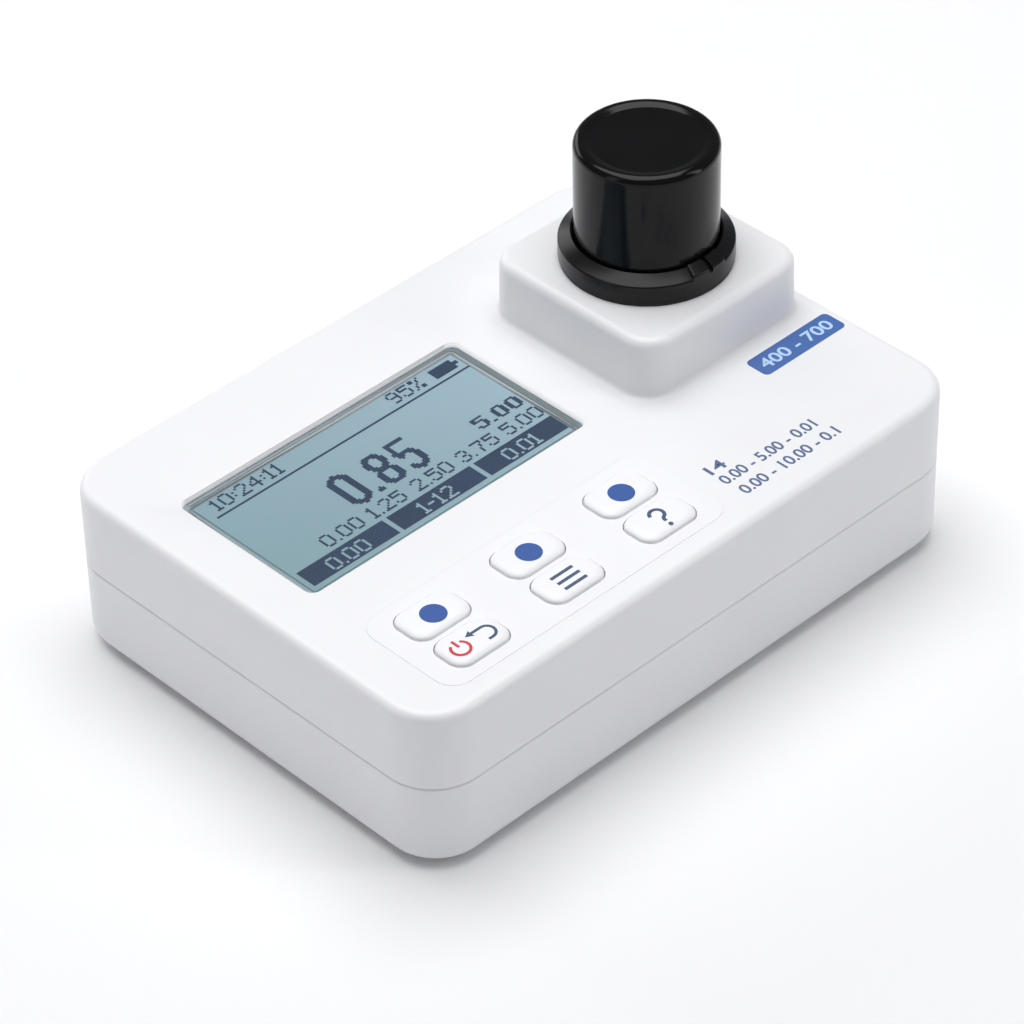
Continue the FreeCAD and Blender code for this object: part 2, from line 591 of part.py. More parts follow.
def make_top_case():
    """Upper shell with the deck, the square block over the well and the pillars inside."""
    body = new_body("upper_body")
    plate_pad(body, "upper_shell", "case_width", "case_depth", "corner_radius", "0", "0", "parting_height",
              "deck_height - parting_height")
    dress(body, "Fillet", "deck_rim", at_height("deck_height"), "deck_edge")
    dress(body, "Chamfer", "upper_seam", at_height("parting_height"), "seam_bevel")
    plate_pad(body, "block", "block_size", "block_size", "block_corner", "well_x", "well_y", "deck_height",
              "block_top - deck_height", "block_draft")
    dress(body, "Fillet", "block_rim", at_height("block_top"), "block_edge")
    reach = size("block_size") / 2 + 0.01
    middle = Vector(size("well_x"), size("well_y"), 0)
    flat = at_height("deck_height")

    def meets_block(edge):
        centre = edge.BoundBox.Center
        return flat(edge) and abs(centre.x - middle.x) < reach and abs(centre.y - middle.y) < reach
    dress(body, "Fillet", "block_root", meets_block, "block_foot")
    hollows = [plate("inside_upper", "case_width - 2 * case_wall", "case_depth - 2 * case_wall",
                     "corner_radius - case_wall", "0", "0", "parting_height - past",
                     "deck_height - deck_wall - parting_height + past"),
               plate("inside_block", "block_size - 2 * block_wall", "block_size - 2 * block_wall",
                     "block_corner - block_wall", "well_x", "well_y", "parting_height",
                     "block_top - block_wall - parting_height"),]
    shell = cut("upper_hollow", body, hollows)
    pillars = []
    removed = []
    for index, (side, end) in enumerate(corners):
        x = f"{side} * case_boss_x"
        y = f"{end} * case_boss_y"
        pillars.append(rod(f"upper_boss_{index}", "case_boss_radius",
                           "deck_height - deck_wall / 2 - parting_height", x, y, "parting_height"))
        removed.append(rod(f"upper_pilot_{index}", "case_screw_radius + screw_gap",
                           "case_screw_seat + case_screw_length + 2 - parting_height", x, y,
                           "parting_height - past"))
    for index, (x, y) in enumerate(board_bosses):
        pillars.append(rod(f"board_boss_{index}", "board_boss_radius",
                           "deck_height - deck_wall / 2 - board_top", x, y, "board_top"))
        removed.append(rod(f"board_pilot_{index}", "board_screw_radius + screw_gap",
                           "board_screw_length - board_thickness + 1.5", x, y, "board_top - past"))
    for index, (side, end) in enumerate(corners):
        x = f"well_x + {side} * holder_screw_spread"
        y = f"well_y + {end} * holder_screw_spread"
        pillars.append(rod(f"holder_boss_{index}", "board_boss_radius",
                           "block_top - block_wall / 2 - flange_top", x, y, "flange_top"))
        removed.append(rod(f"holder_pilot_{index}", "board_screw_radius + screw_gap",
                           "holder_screw_length - flange_thickness + 1.5", x, y, "flange_top - past"))
    removed.append(rod("spigot_hole", "spigot_radius + spigot_gap", "block_top - flange_top + past",
                       "well_x", "well_y", "flange_top"))
    removed.append(plate("window_recess_cut", "window_width + 2 * window_gap",
                         "window_depth + 2 * window_gap", "window_corner + window_gap", "window_x",
                         "window_y", "window_seat", "deck_wall"))
    removed.append(plate("window_opening_cut", "opening_width", "opening_depth", "1", "window_x",
                         "window_y", "deck_underside - past", "deck_wall"))
    removed.append(plate("overlay_recess_cut", "keypad_width + 2 * overlay_gap",
                         "keypad_depth + 2 * overlay_gap", "keypad_corner + overlay_gap", "keypad_x",
                         "keypad_y", "deck_height - overlay_thickness", "deck_wall"))
    for name, column, row_y, depth in keys:
        removed.append(plate(name + "_opening", "key_width + 2 * key_gap", f"{depth} + 2 * key_gap",
                             "key_corner + key_gap", key_x(column), row_y, "deck_underside - past",
                             "deck_wall + past"))
    keep(cut("top_case_cut", join("upper_pillars", [shell] + pillars), removed), "top_case")


bottom_face = "foot_proud"
cover_screws = (("-1", "1"), ("1", "-1"))


def cover_screw_place(side, end):
    return f"bay_x + {side} * cover_screw_x", f"bay_y + {end} * cover_screw_y"


def make_bottom_case():
    """Lower shell with the battery bay, the pillars for the case screws and the pockets for the feet."""
    body = new_body("lower_body")
    plate_pad(body, "lower_shell", "case_width", "case_depth", "corner_radius", "0", "0", bottom_face,
              "parting_height - foot_proud")
    dress(body, "Fillet", "bottom_rim", at_height(bottom_face), "bottom_edge")
    dress(body, "Chamfer", "lower_seam", at_height("parting_height"), "seam_bevel")
    hollow = plate("inside_lower", "case_width - 2 * case_wall", "case_depth - 2 * case_wall",
                   "corner_radius - case_wall", "0", "0", "floor_top", "parting_height")
    shell = cut("lower_hollow", body, [hollow])
    added = [
        plate("ledge", "cover_length + 2 * ledge_margin", "cover_depth + 2 * ledge_margin", "cover_corner",
              "bay_x", "bay_y", "foot_proud + floor_wall / 2", "ledge_top - foot_proud - floor_wall / 2"),
        plate("bay_block", "bay_length + 2 * bay_wall", "bay_depth + 2 * bay_wall", "2", "bay_x", "bay_y",
              "cover_roof", "bay_ceiling + bay_wall - cover_roof"),
    ]
    removed = [plate("cover_recess", "cover_length + 2 * cover_gap", "cover_depth + 2 * cover_gap",
                     "cover_corner + cover_gap", "bay_x", "bay_y", "foot_proud - past",
                     "cover_thickness + cover_seal_thickness + past"),
               plate("bay", "bay_length", "bay_depth", "1", "bay_x", "bay_y", bottom_face,
                     "bay_ceiling - foot_proud"),
               cut("gasket_groove",
                   plate("groove_outer", "case_width - 2 * gasket_inset", "case_depth - 2 * gasket_inset",
                         "corner_radius - gasket_inset", "0", "0", "parting_height - gasket_height",
                         "gasket_height + past"),
                   [plate("groove_inner", "case_width - 2 * gasket_inset - 2 * gasket_width",
                          "case_depth - 2 * gasket_inset - 2 * gasket_width",
                          "corner_radius - gasket_inset - gasket_width", "0", "0",
                          "parting_height - gasket_height", "gasket_height + past")]),]
    for index, (side, end) in enumerate(cover_screws):
        x, y = cover_screw_place(side, end)
        added.append(rod(f"cover_boss_{index}", "cover_boss_radius", "cover_screw_length + cover_boss_roof",
                         x, y, "cover_roof"))
        removed.append(rod(f"cover_pilot_{index}", "cover_screw_radius + screw_gap", "cover_screw_length",
                           x, y, bottom_face))
    for index, (side, end) in enumerate(corners):
        x = f"{side} * case_boss_x"
        y = f"{end} * case_boss_y"
        added.append(rod(f"lower_boss_{index}", "case_boss_radius",
                         "parting_height - foot_proud - floor_wall / 2", x, y,
                         "foot_proud + floor_wall / 2"))
        removed.append(rod(f"case_clearance_{index}", "case_screw_radius + screw_gap",
                           "parting_height + past", x, y, bottom_face))
        removed.append(rod(f"case_counterbore_{index}", "case_head_radius + head_gap",
                           "case_screw_seat - foot_proud + past", x, y, "foot_proud - past"))
        removed.append(rod(f"foot_pocket_{index}", "foot_radius + foot_gap", "foot_sunk + past",
                           f"{side} * foot_x", f"{end} * foot_y", "foot_proud - past"))
    keep(cut("bottom_case_cut", join("lower_added", [shell] + added), removed), "bottom_case")


def screw(name, shank, length, head, head_height, x, y, seat, turn=upright):
    """A pan head screw that points up from its seat, with a cross in its head."""
    post = rod(name + "_shank", shank, length, x, y, seat, turn)
    cap = rod(name + "_head", head, head_height, x, y, f"({seat}) - ({head_height})", turn)
    slot_length = f"1.3 * ({head})"
    slots = [box(f"{name}_slot_{number}", width, depth, "slot_depth", x, y,
                 f"({seat}) - ({head_height})") for number,
             (width, depth) in enumerate(((slot_length, "slot_width"), ("slot_width", slot_length)))]
    return cut(name, join(name + "_blank", [post, cap]), slots)


def make_case_hardware():
    """Sealing cord, screws and feet of the case."""
    keep(frame("case_gasket_cord", "case_width - 2 * gasket_inset", "case_depth - 2 * gasket_inset",
               "corner_radius - gasket_inset", "gasket_width", "0", "0", "parting_height - gasket_height",
               "gasket_height"), "case_gasket")
    group("case_screws", [screw(f"case_screw_{index}", "case_screw_radius", "case_screw_length",
                                "case_head_radius", "case_head_height", f"{side} * case_boss_x",
                                f"{end} * case_boss_y", "case_screw_seat") for index,
                          (side, end) in enumerate(corners)])
    group("rubber_feet", [rod(f"rubber_foot_{index}", "foot_radius", "foot_proud + foot_sunk",
                              f"{side} * foot_x", f"{end} * foot_y", "0") for index,
                          (side, end) in enumerate(corners)])


def make_battery_cover():
    """Cover of the battery bay, flush with the bottom, with its seal and two screws."""
    body = new_body("cover_body")
    plate_pad(body, "cover_plate", "cover_length", "cover_depth", "cover_corner", "bay_x", "bay_y",
              bottom_face, "cover_thickness")
    dress(body, "Chamfer", "cover_rim", at_height(bottom_face), "seam_bevel")
    posts = []
    drilled = []
    for index, (side, end) in enumerate(cover_screws):
        x, y = cover_screw_place(side, end)
        posts.append(rod(f"cover_post_{index}", "cover_post_radius",
                         "cover_seal_thickness + cover_thickness / 2", x, y,
                         "foot_proud + cover_thickness / 2"))
        drilled.append(rod(f"cover_clearance_{index}", "cover_screw_radius + screw_gap",
                           "2 * cover_thickness", x, y, bottom_face))
        drilled.append(rod(f"cover_counterbore_{index}", "small_head_radius + head_gap",
                           "small_head_height + past", x, y, "foot_proud - past"))
    keep(cut("battery_cover_cut", join("cover_posts", [body] + posts), drilled), "battery_cover")
    seal = "cover_seal_width + cover_seal_inset"
    keep(frame("cover_seal", f"bay_length + 2 * ({seal})", f"bay_depth + 2 * ({seal})", "3",
               "cover_seal_width", "bay_x", "bay_y", "foot_proud + cover_thickness",
               "cover_seal_thickness"), "cover_gasket")
    screws = []
    for index, (side, end) in enumerate(cover_screws):
        x, y = cover_screw_place(side, end)
        screws.append(screw(f"cover_screw_{index}", "cover_screw_radius",
                            "cover_screw_length - small_head_height - 0.5", "small_head_radius",
                            "small_head_height", x, y, "foot_proud + small_head_height"))
    group("cover_screws", screws)


def tube(name, points, radius):
    """An insulated wire: straight runs joined by arcs as large as the runs allow."""
    edges = []
    start = points[0]
    for before, corner, after in zip(points, points[1:], points[2:]):
        arrive = (corner - before).normalize()
        leave = (after - corner).normalize()
        half_turn = arrive.getAngle(leave) / 2
        setback = 0.45 * min((corner - before).Length, (after - corner).Length)
        bend_radius = setback / math.tan(half_turn)
        arc_start = corner - arrive * setback
        arc_end = corner + leave * setback
        inward = (leave - arrive).normalize()
        sag = bend_radius / math.cos(half_turn) - bend_radius
        edges.append(Part.makeLine(start, arc_start))
        edges.append(Part.Arc(arc_start, corner + inward * sag, arc_end).toShape())
        start = arc_end
    edges.append(Part.makeLine(start, points[-1]))
    path = Part.Wire(edges)
    section = Part.Wire(Part.makeCircle(radius, points[0], points[1] - points[0]))
    item = doc.addObject("Part::Feature", name)
    item.Shape = path.makePipeShell([section], True, False)
    expected = math.pi * radius ** 2 * path.Length
    if abs(item.Shape.Volume - expected) > 0.02 * expected:
        raise ValueError(f"{name} has the wrong volume")
    return item


cells = (("1", False), ("0", True), ("-1", False))


def make_batteries():
    """Three AA cells side by side, with the plates and springs that touch their ends."""
    plates = []
    springs = []
    for index, (step, flipped) in enumerate(cells):
        y = f"bay_y + {step} * cell_pitch"
        if flipped:
            can_start = "bay_left + contact_thickness + contact_gap + cell_nub"
            nub_start = f"{can_start} - cell_nub"
            spring_start = f"{can_start} + cell_can + contact_gap"
        else:
            can_start = "bay_left + contact_thickness + spring_length + contact_gap"
            nub_start = f"{can_start} + cell_can"
            spring_start = "bay_left + contact_thickness"
        can = rod(f"can_{index}", "cell_radius", "cell_can", can_start, y, "cell_axis", along_x)
        nub = rod(f"nub_{index}", "nub_radius", "cell_nub", nub_start, y, "cell_axis", along_x)
        keep(join(f"cell_{index}", [can, nub]), f"battery_cell_{index + 1}")
        springs.append(coil_spring(f"battery_spring_{index}", spring_start, y, flipped))
        for side, x in (("left", "bay_left + contact_thickness / 2"),
                        ("right", "bay_right - contact_thickness / 2")):
            plates.append(box(f"contact_{side}_{index}", "contact_thickness", "contact_size",
                              "contact_size", x, y, "cell_axis - contact_size / 2"))
    group("battery_springs", springs)
    group("battery_contacts", plates)


def coil_spring(name, x, y, flipped):
    """A cone of spring wire that stands on its contact plate and narrows towards the cell."""
    wire_radius = size("spring_wire")
    height = size("spring_length - 2 * spring_wire")
    foot = size("spring_radius")
    tip = size("nub_radius")
    points_per_turn = 8
    count = round(height / size("spring_pitch") * points_per_turn)
    points = []
    for number in range(count + 1):
        share = number / count
        reach = foot + (tip - foot) * share
        angle = math.tau * number / points_per_turn
        points.append(Vector(reach * math.cos(angle), reach * math.sin(angle), height * share))
    item = tube(name, points, wire_radius)
    turn = Rotation(Vector(0, 1, 0), -90 if flipped else 90)
    offset = size(x) + (size("spring_length") - wire_radius if flipped else wire_radius)
    item.Placement = Placement(Vector(offset, size(y), size("cell_axis")), turn)
    return item


def make_display():
    """Clear pane, its bonding frame, the display glass, its light panel and the frame on the board."""
    keep(plate("display_pane", "window_width", "window_depth", "window_corner", "window_x", "window_y",
               "window_seat + adhesive_thickness", "window_thickness"), "display_window")
    bond_outer = plate("bond_outer", "window_width", "window_depth", "window_corner", "window_x",
                       "window_y", "window_seat", "adhesive_thickness")
    bond_inner = plate("bond_inner", "opening_width", "opening_depth", "window_corner / 2", "window_x",
                       "window_y", "window_seat", "adhesive_thickness")
    keep(cut("pane_bond", bond_outer, [bond_inner]), "window_adhesive")
    keep(box("lcd", "lcd_width", "lcd_depth", "lcd_thickness", "window_x", "window_y",
             "board_top + backlight_thickness"), "lcd_glass")
    keep(box("light_panel", "lcd_width", "lcd_depth", "backlight_thickness", "window_x", "window_y",
             "board_top"), "lcd_backlight")
    outer = box("frame_outer", "opening_width + 2 * frame_wall", "opening_depth + 2 * frame_wall",
                "frame_height", "window_x", "window_y", "board_top")
    inner = box("frame_inner", "opening_width", "opening_depth", "frame_height + 2", "window_x", "window_y",
                "board_top - past")
    notch = box("ribbon_notch", "ribbon_width + 1", "4 * frame_wall", "1", "window_x", "front_of_glass",
                "ribbon_height - ribbon_rise")
    keep(cut("frame_cut", outer, [inner, notch]), "lcd_frame")
    keep(box("socket", "ribbon_width + 2", "ribbon_socket_depth", "ribbon_socket_height", "window_x",
             "ribbon_drop", "board_top"), "ribbon_socket")
    ribbon = doc.addObject("Part::Feature", "ribbon")
    start = Vector(0, size("front_of_glass"), size("ribbon_height"))
    drop = size("ribbon_drop")
    bend = size("ribbon_bend")
    turn_start = Vector(0, drop + bend, start.z)
    turn_end = Vector(0, drop, start.z - bend)
    turn_middle = Vector(0, drop + bend * (1 - math.sqrt(0.5)), start.z - bend * (1 - math.sqrt(0.5)))
    foot = Vector(0, drop, size("board_top + ribbon_socket_height"))
    path = Part.Wire([Part.makeLine(start, turn_start),
                      Part.Arc(turn_start, turn_middle, turn_end).toShape(), Part.makeLine(turn_end, foot)])
    strip = path.makeOffset2D(size("ribbon_thickness"), 0, True, True)
    ribbon.Shape = strip.extrude(Vector(size("ribbon_width"), 0, 0))
    ribbon.Placement = Placement(Vector(size("window_x - ribbon_width / 2"), 0, 0), Rotation())
    keep(ribbon, "display_ribbon")


def make_board():
    """Main board with its parts and its screws."""
    blank = doc.addObject("Part::Box", "board_blank")
    bind(blank, Length="board_right - board_left", Width="board_back - board_front",
         Height="board_thickness")
    place(blank, "board_left", "board_front", "board_underside")
    relief_right = "case_boss_radius + relief_side - case_boss_x"
    corner_cut = box("board_corner_cut", f"2 * ({relief_right} - board_left)",
                     f"2 * ({relief_back} - board_front)", "3 * board_thickness", "board_left",
                     "board_front", "board_underside - past")
    holes = [rod(f"board_hole_{index}", "board_screw_radius + screw_gap", "3 * board_thickness", x, y,
                 "board_underside - past") for index, (x, y) in enumerate(board_bosses)]
    keep(cut("board_cut", blank, [corner_cut] + holes), "main_board")
    group("board_screws", [screw(f"board_screw_{index}", "board_screw_radius", "board_screw_length",
                                 "small_head_radius", "small_head_height", x, y,
                                 "board_underside") for index, (x, y) in enumerate(board_bosses)])
    chips = (
        ("processor", 12, 12, 1.6, "board_left + 44", "board_front + 16"),
        ("memory", 8, 6, 1.2, "board_left + 26", "board_front + 15"),
        ("converter", 6, 5, 1.4, "board_right - 23", "board_front + 16"),
        ("regulator", 5, 6, 1.8, "board_left + 14", "board_back - 8"),
        ("clock", 4, 8, 1.6, "board_right - 28", "board_back - 8"),
        ("driver", 10, 8, 1.4, "board_left + 36", "board_back - 7"),
    )
    pieces = [box(name, f"{width}", f"{depth}", f"{height}", x, y, f"board_underside - {height}")
              for name, width, depth, height, x, y in chips]
    pieces.append(box("battery_socket", "plug_length", "plug_width", "plug_height", "battery_plug_x",
                      "battery_plug_y", "board_underside - plug_height"))
    pieces.append(box("sensor_socket", "plug_width", "plug_length", "plug_height", "sensor_plug_x",
                      "sensor_plug_y", "board_underside - plug_height"))
    pieces.append(rod("reservoir", "reservoir_radius", "reservoir_height", "board_right - 15",
                      "board_back - 6", "board_underside - reservoir_height"))
    group("board_parts", pieces)
    keep(rod("sounder", "buzzer_radius", "buzzer_height", "buzzer_x", "buzzer_y",
             "board_underside - buzzer_height"), "buzzer")


def make_keypad():
    """Key panel, the six keys and the rubber mat whose domes push them back up."""
    panel = plate("panel_blank", "keypad_width", "keypad_depth", "keypad_corner", "keypad_x", "keypad_y",
                  "deck_height - overlay_thickness", "overlay_thickness")
    openings = [plate(name + "_panel_opening", "key_width + 2 * key_gap", f"{depth} + 2 * key_gap",
                      "key_corner + key_gap", key_x(column), row_y, "deck_height - 2 * overlay_thickness",
                      "3 * overlay_thickness") for name, column, row_y, depth in keys]
    keep(cut("panel_cut", panel, openings), "keypad_overlay")
    dome_height = "key_base - key_travel - dome_gap - board_top - mat_thickness"
    domes = []
    for name, column, row_y, depth in keys:
        dome = doc.addObject("Part::Cone", name + "_dome")
        bind(dome, Radius1="dome_radius", Radius2="dome_radius - dome_slope", Height=dome_height)
        place(dome, key_x(column), row_y, "board_top + mat_thickness")
        domes.append(dome)
    sheet_of_rubber = plate("mat_sheet", "2 * column_pitch + 2 * dome_radius + 2 * mat_side",
                            "function_row + command_row + 2 * dome_radius + 2 * mat_end", "2", "keypad_x",
                            "(function_row_y + command_row_y) / 2", "board_top", "mat_thickness")
    keep(join("mat", [sheet_of_rubber] + domes), "keypad_mat")
    for name, column, row_y, depth in keys:
        body = new_body(name + "_body")
        plate_pad(body, name + "_cap", "key_width", depth, "key_corner", "0", "0", "key_base",
                  "deck_height + key_proud - key_base")
        dress(body, "Fillet", name + "_rim", at_height("deck_height + key_proud"), "key_edge")
        plate_pad(body, name + "_ears", "key_width + 2 * ear_reach", f"{depth} - 2 * key_corner", "0.5",
                  "0", "0", "key_base", "ear_height")
        place(body, key_x(column), row_y)
        keep(body, name)


def make_holder():
    """Black chamber that the cuvette stands in, hung from the block by a square flange."""
    tube_radius = "cuvette_radius + cuvette_gap + holder_wall"
    tube = rod("well_tube", tube_radius, "block_top - holder_top_gap - well_floor + holder_base", "well_x",
               "well_y", "well_floor - holder_base")
    flange = plate("well_flange", "flange_size", "flange_size", "2", "well_x", "well_y",
                   "flange_top - flange_thickness", "flange_thickness")
    lamp_pad = box("lamp_pad", "lamp_reach", "pad_size", "pad_size", "well_x - lamp_reach / 2", "well_y",
                   "beam_height - pad_size / 2")
    sensor_pad = box("sensor_pad", "sensor_reach", "pad_size", "pad_size", "well_x + sensor_reach / 2",
                     "well_y", "beam_height - pad_size / 2")
    bore = rod("well_bore", "cuvette_radius + cuvette_gap", "block_top", "well_x", "well_y", "well_floor")
    ports = rod("beam_ports", "port_radius", "lamp_reach + sensor_reach + 2", "well_x - lamp_reach - past",
                "well_y", "beam_height", along_x)
    slot = box("spring_slot", "leaf_width + 1", "2 * holder_wall", "leaf_length - 2 * leaf_tab", "well_x",
               f"well_y + {tube_radius} - holder_wall / 2", "leaf_base + leaf_tab")
    holes = [rod(f"flange_hole_{index}", "board_screw_radius + screw_gap", "3 * flange_thickness",
                 f"well_x + {side} * holder_screw_spread", f"well_y + {end} * holder_screw_spread",
                 "flange_top - 2 * flange_thickness") for index, (side, end) in enumerate(corners)]
    keep(cut("holder_cut", join("holder_blank", [tube, flange, lamp_pad, sensor_pad]),
             [bore, ports, slot] + holes), "cuvette_holder")
    group("holder_screws", [screw(f"holder_screw_{index}", "board_screw_radius", "holder_screw_length",
                                  "small_head_radius", "small_head_height",
                                  f"well_x + {side} * holder_screw_spread",
                                  f"well_y + {end} * holder_screw_spread",
                                  "flange_top - flange_thickness") for index,
                            (side, end) in enumerate(corners)])
    outside = size(f"well_y + {tube_radius}")
    inside = size("well_y + cuvette_radius + leaf_gap")
    base = size("leaf_base")
    length = size("leaf_length")
    tab = size("leaf_tab")
    thickness = Vector(0, size("leaf_thickness"), 0)
    foot, low = Vector(0, outside, base), Vector(0, outside, base + tab)
    middle = Vector(0, inside, base + length / 2)
    high, head = Vector(0, outside, base + length - tab), Vector(0, outside, base + length)
    profile = Part.Wire([
        Part.makeLine(foot, low),
        Part.Arc(low, middle, high).toShape(),
        Part.makeLine(high, head),
        Part.makeLine(head, head + thickness),
        Part.makeLine(head + thickness, high + thickness),
        Part.Arc(high + thickness, middle + thickness, low + thickness).toShape(),
        Part.makeLine(low + thickness, foot + thickness),
        Part.makeLine(foot + thickness, foot),
    ])
    leaf = doc.addObject("Part::Feature", "leaf")
    leaf.Shape = Part.Face(profile).extrude(Vector(size("leaf_width"), 0, 0))
    leaf.Placement = Placement(Vector(size("well_x - leaf_width / 2"), 0, 0), Rotation())
    keep(leaf, "cuvette_spring")


def make_ring():
    """Black ring round the well's mouth, with the index lug for the cuvette's mark, and its flat seal."""
    tube = "cuvette_radius + cuvette_gap + holder_wall + spigot_gap"
    bore = "shield_radius + shield_gap"
    foot = "block_top + seal_thickness"
    body = new_body("ring_body")
    turned(body, "ring_turning", [
        (tube, "block_top - spigot_length"),
        ("spigot_radius", "block_top - spigot_length"),
        ("spigot_radius", foot),
        ("ring_radius", foot),
        ("ring_radius", "block_top + ring_rim"),
        (bore, "block_top + ring_crest"),
        (bore, "block_top - holder_top_gap"),
        (tube, "block_top - holder_top_gap"),
    ])
    dress(body, "Fillet", "ring_rounding", circle_at("ring_radius", "block_top + ring_rim"), "ring_edge")
    place(body, "well_x", "well_y")
    lug = new_body("lug_body")
    sketch = sketch_on(lug, "lug", role="XZ_Plane")
    outline(sketch, [
        (f"{bore} + 0.5", "block_top + ring_rim"),
        ("ring_radius - 0.4", "block_top + ring_rim - 0.8"),
        ("ring_radius - 0.4", "block_top + ring_rim + lug_rise"),
        (f"{bore} + 0.5", "block_top + ring_crest + lug_rise / 3"),
    ])
    feature = lug.newObject("PartDesign::Revolution", "lug_turning")
    feature.Profile = sketch
    feature.ReferenceAxis = (sketch, ["V_Axis"])
    feature.Midplane = True
    bind(feature, Angle="2 * lug_half_angle")
    place(lug, "well_x", "well_y", "0", Rotation(Vector(0, 0, 1), -90))
    groove = box("index_groove_cut", "index_groove", "ring_radius - shield_radius",
                 "2 * lug_rise + ring_crest - ring_rim", "well_x",
                 "well_y - (ring_radius + shield_radius) / 2", "block_top + ring_rim + 0.1")
    keep(cut("ring_cut", join("ring_and_lug", [body, lug]), [groove]), "cuvette_ring")
    seal_outer = rod("seal_outer", "ring_radius - seal_inset", "seal_thickness", "well_x", "well_y",
                     "block_top")
    seal_inner = rod("seal_inner", "spigot_radius + spigot_gap", "seal_thickness + 2", "well_x", "well_y",
                     "block_top - past")
    keep(cut("seal_cut", seal_outer, [seal_inner]), "ring_gasket")


def make_cuvette():
    """Glass cuvette with its screw cap and sealing disc, and the light shield that goes over them."""
    glass = new_body("glass_body")
    floor = "well_floor"
    rim = "well_floor + cuvette_height"
    shoulder = "well_floor + cuvette_shoulder"
    inside = "cuvette_radius - cuvette_wall"
    throat = "neck_radius - neck_wall"
    turned(glass, "glass_turning", [
        ("0", floor),
        ("cuvette_radius", floor),
        ("cuvette_radius", shoulder),
        ("neck_radius", f"{shoulder} + shoulder_rise"),
        ("neck_radius", rim),
        (throat, rim),
        (throat, f"{shoulder} + shoulder_rise - 0.6"),
        (inside, f"{shoulder} - 0.6"),
        (inside, f"{floor} + cuvette_base"),
        ("0", f"{floor} + cuvette_base"),
    ])
    dress(glass, "Fillet", "glass_heel", circle_at("cuvette_radius", floor), "cuvette_wall / 1.3")
    place(glass, "well_x", "well_y")
    keep(glass, "glass_cuvette")
    keep(rod("sealing_disc", "neck_radius", "liner_thickness", "well_x", "well_y", rim), "cap_liner")
    cap = new_body("cap_body")
    cap_inside = f"{rim} + liner_thickness"
    cap_bore = "neck_radius + cap_gap"
    turned(cap, "cap_turning", [
        ("0", cap_inside),
        (cap_bore, cap_inside),
        (cap_bore, f"{rim} - cap_skirt"),
        ("cap_radius", f"{rim} - cap_skirt"),
        ("cap_radius", f"{cap_inside} + cap_roof"),
        ("0", f"{cap_inside} + cap_roof"),
    ])
    dress(cap, "Fillet", "cap_rim", circle_at("cap_radius", f"{cap_inside} + cap_roof"), "cap_roof / 2.5")
    place(cap, "well_x", "well_y")
    count = int(size("cap_grooves"))
    grooves = []
    for number in range(count):
        groove = rod(f"cap_groove_{number}", "cap_groove_radius", "cap_skirt", "0", "0",
                     f"{rim} - cap_skirt + past")
        angle = 360 / count * number
        place(groove, f"well_x + cap_radius * cos({angle} * 1 deg)",
              f"well_y + cap_radius * sin({angle} * 1 deg)", f"{rim} - cap_skirt + past")
        grooves.append(groove)
    keep(cut("cap_cut", cap, grooves), "cuvette_cap")
    shield = new_body("shield_body")
    shield_foot = "block_top - holder_top_gap + cuvette_gap"
    turned(shield, "shield_turning", [
        ("0", "shield_top - shield_dish"),
        ("shield_radius - 2.2 * shield_edge", "shield_top - shield_dish"),
        ("shield_radius - 2 * shield_edge", "shield_top"),
        ("shield_radius", "shield_top"),
        ("shield_radius", shield_foot),
        ("shield_radius - shield_wall", shield_foot),
        ("shield_radius - shield_wall", "shield_top - shield_roof"),
        ("0", "shield_top - shield_roof"),
    ])
    dress(shield, "Fillet", "shield_rim", circle_at("shield_radius", "shield_top"), "shield_edge")
    place(shield, "well_x", "well_y")
    keep(shield, "light_shield")


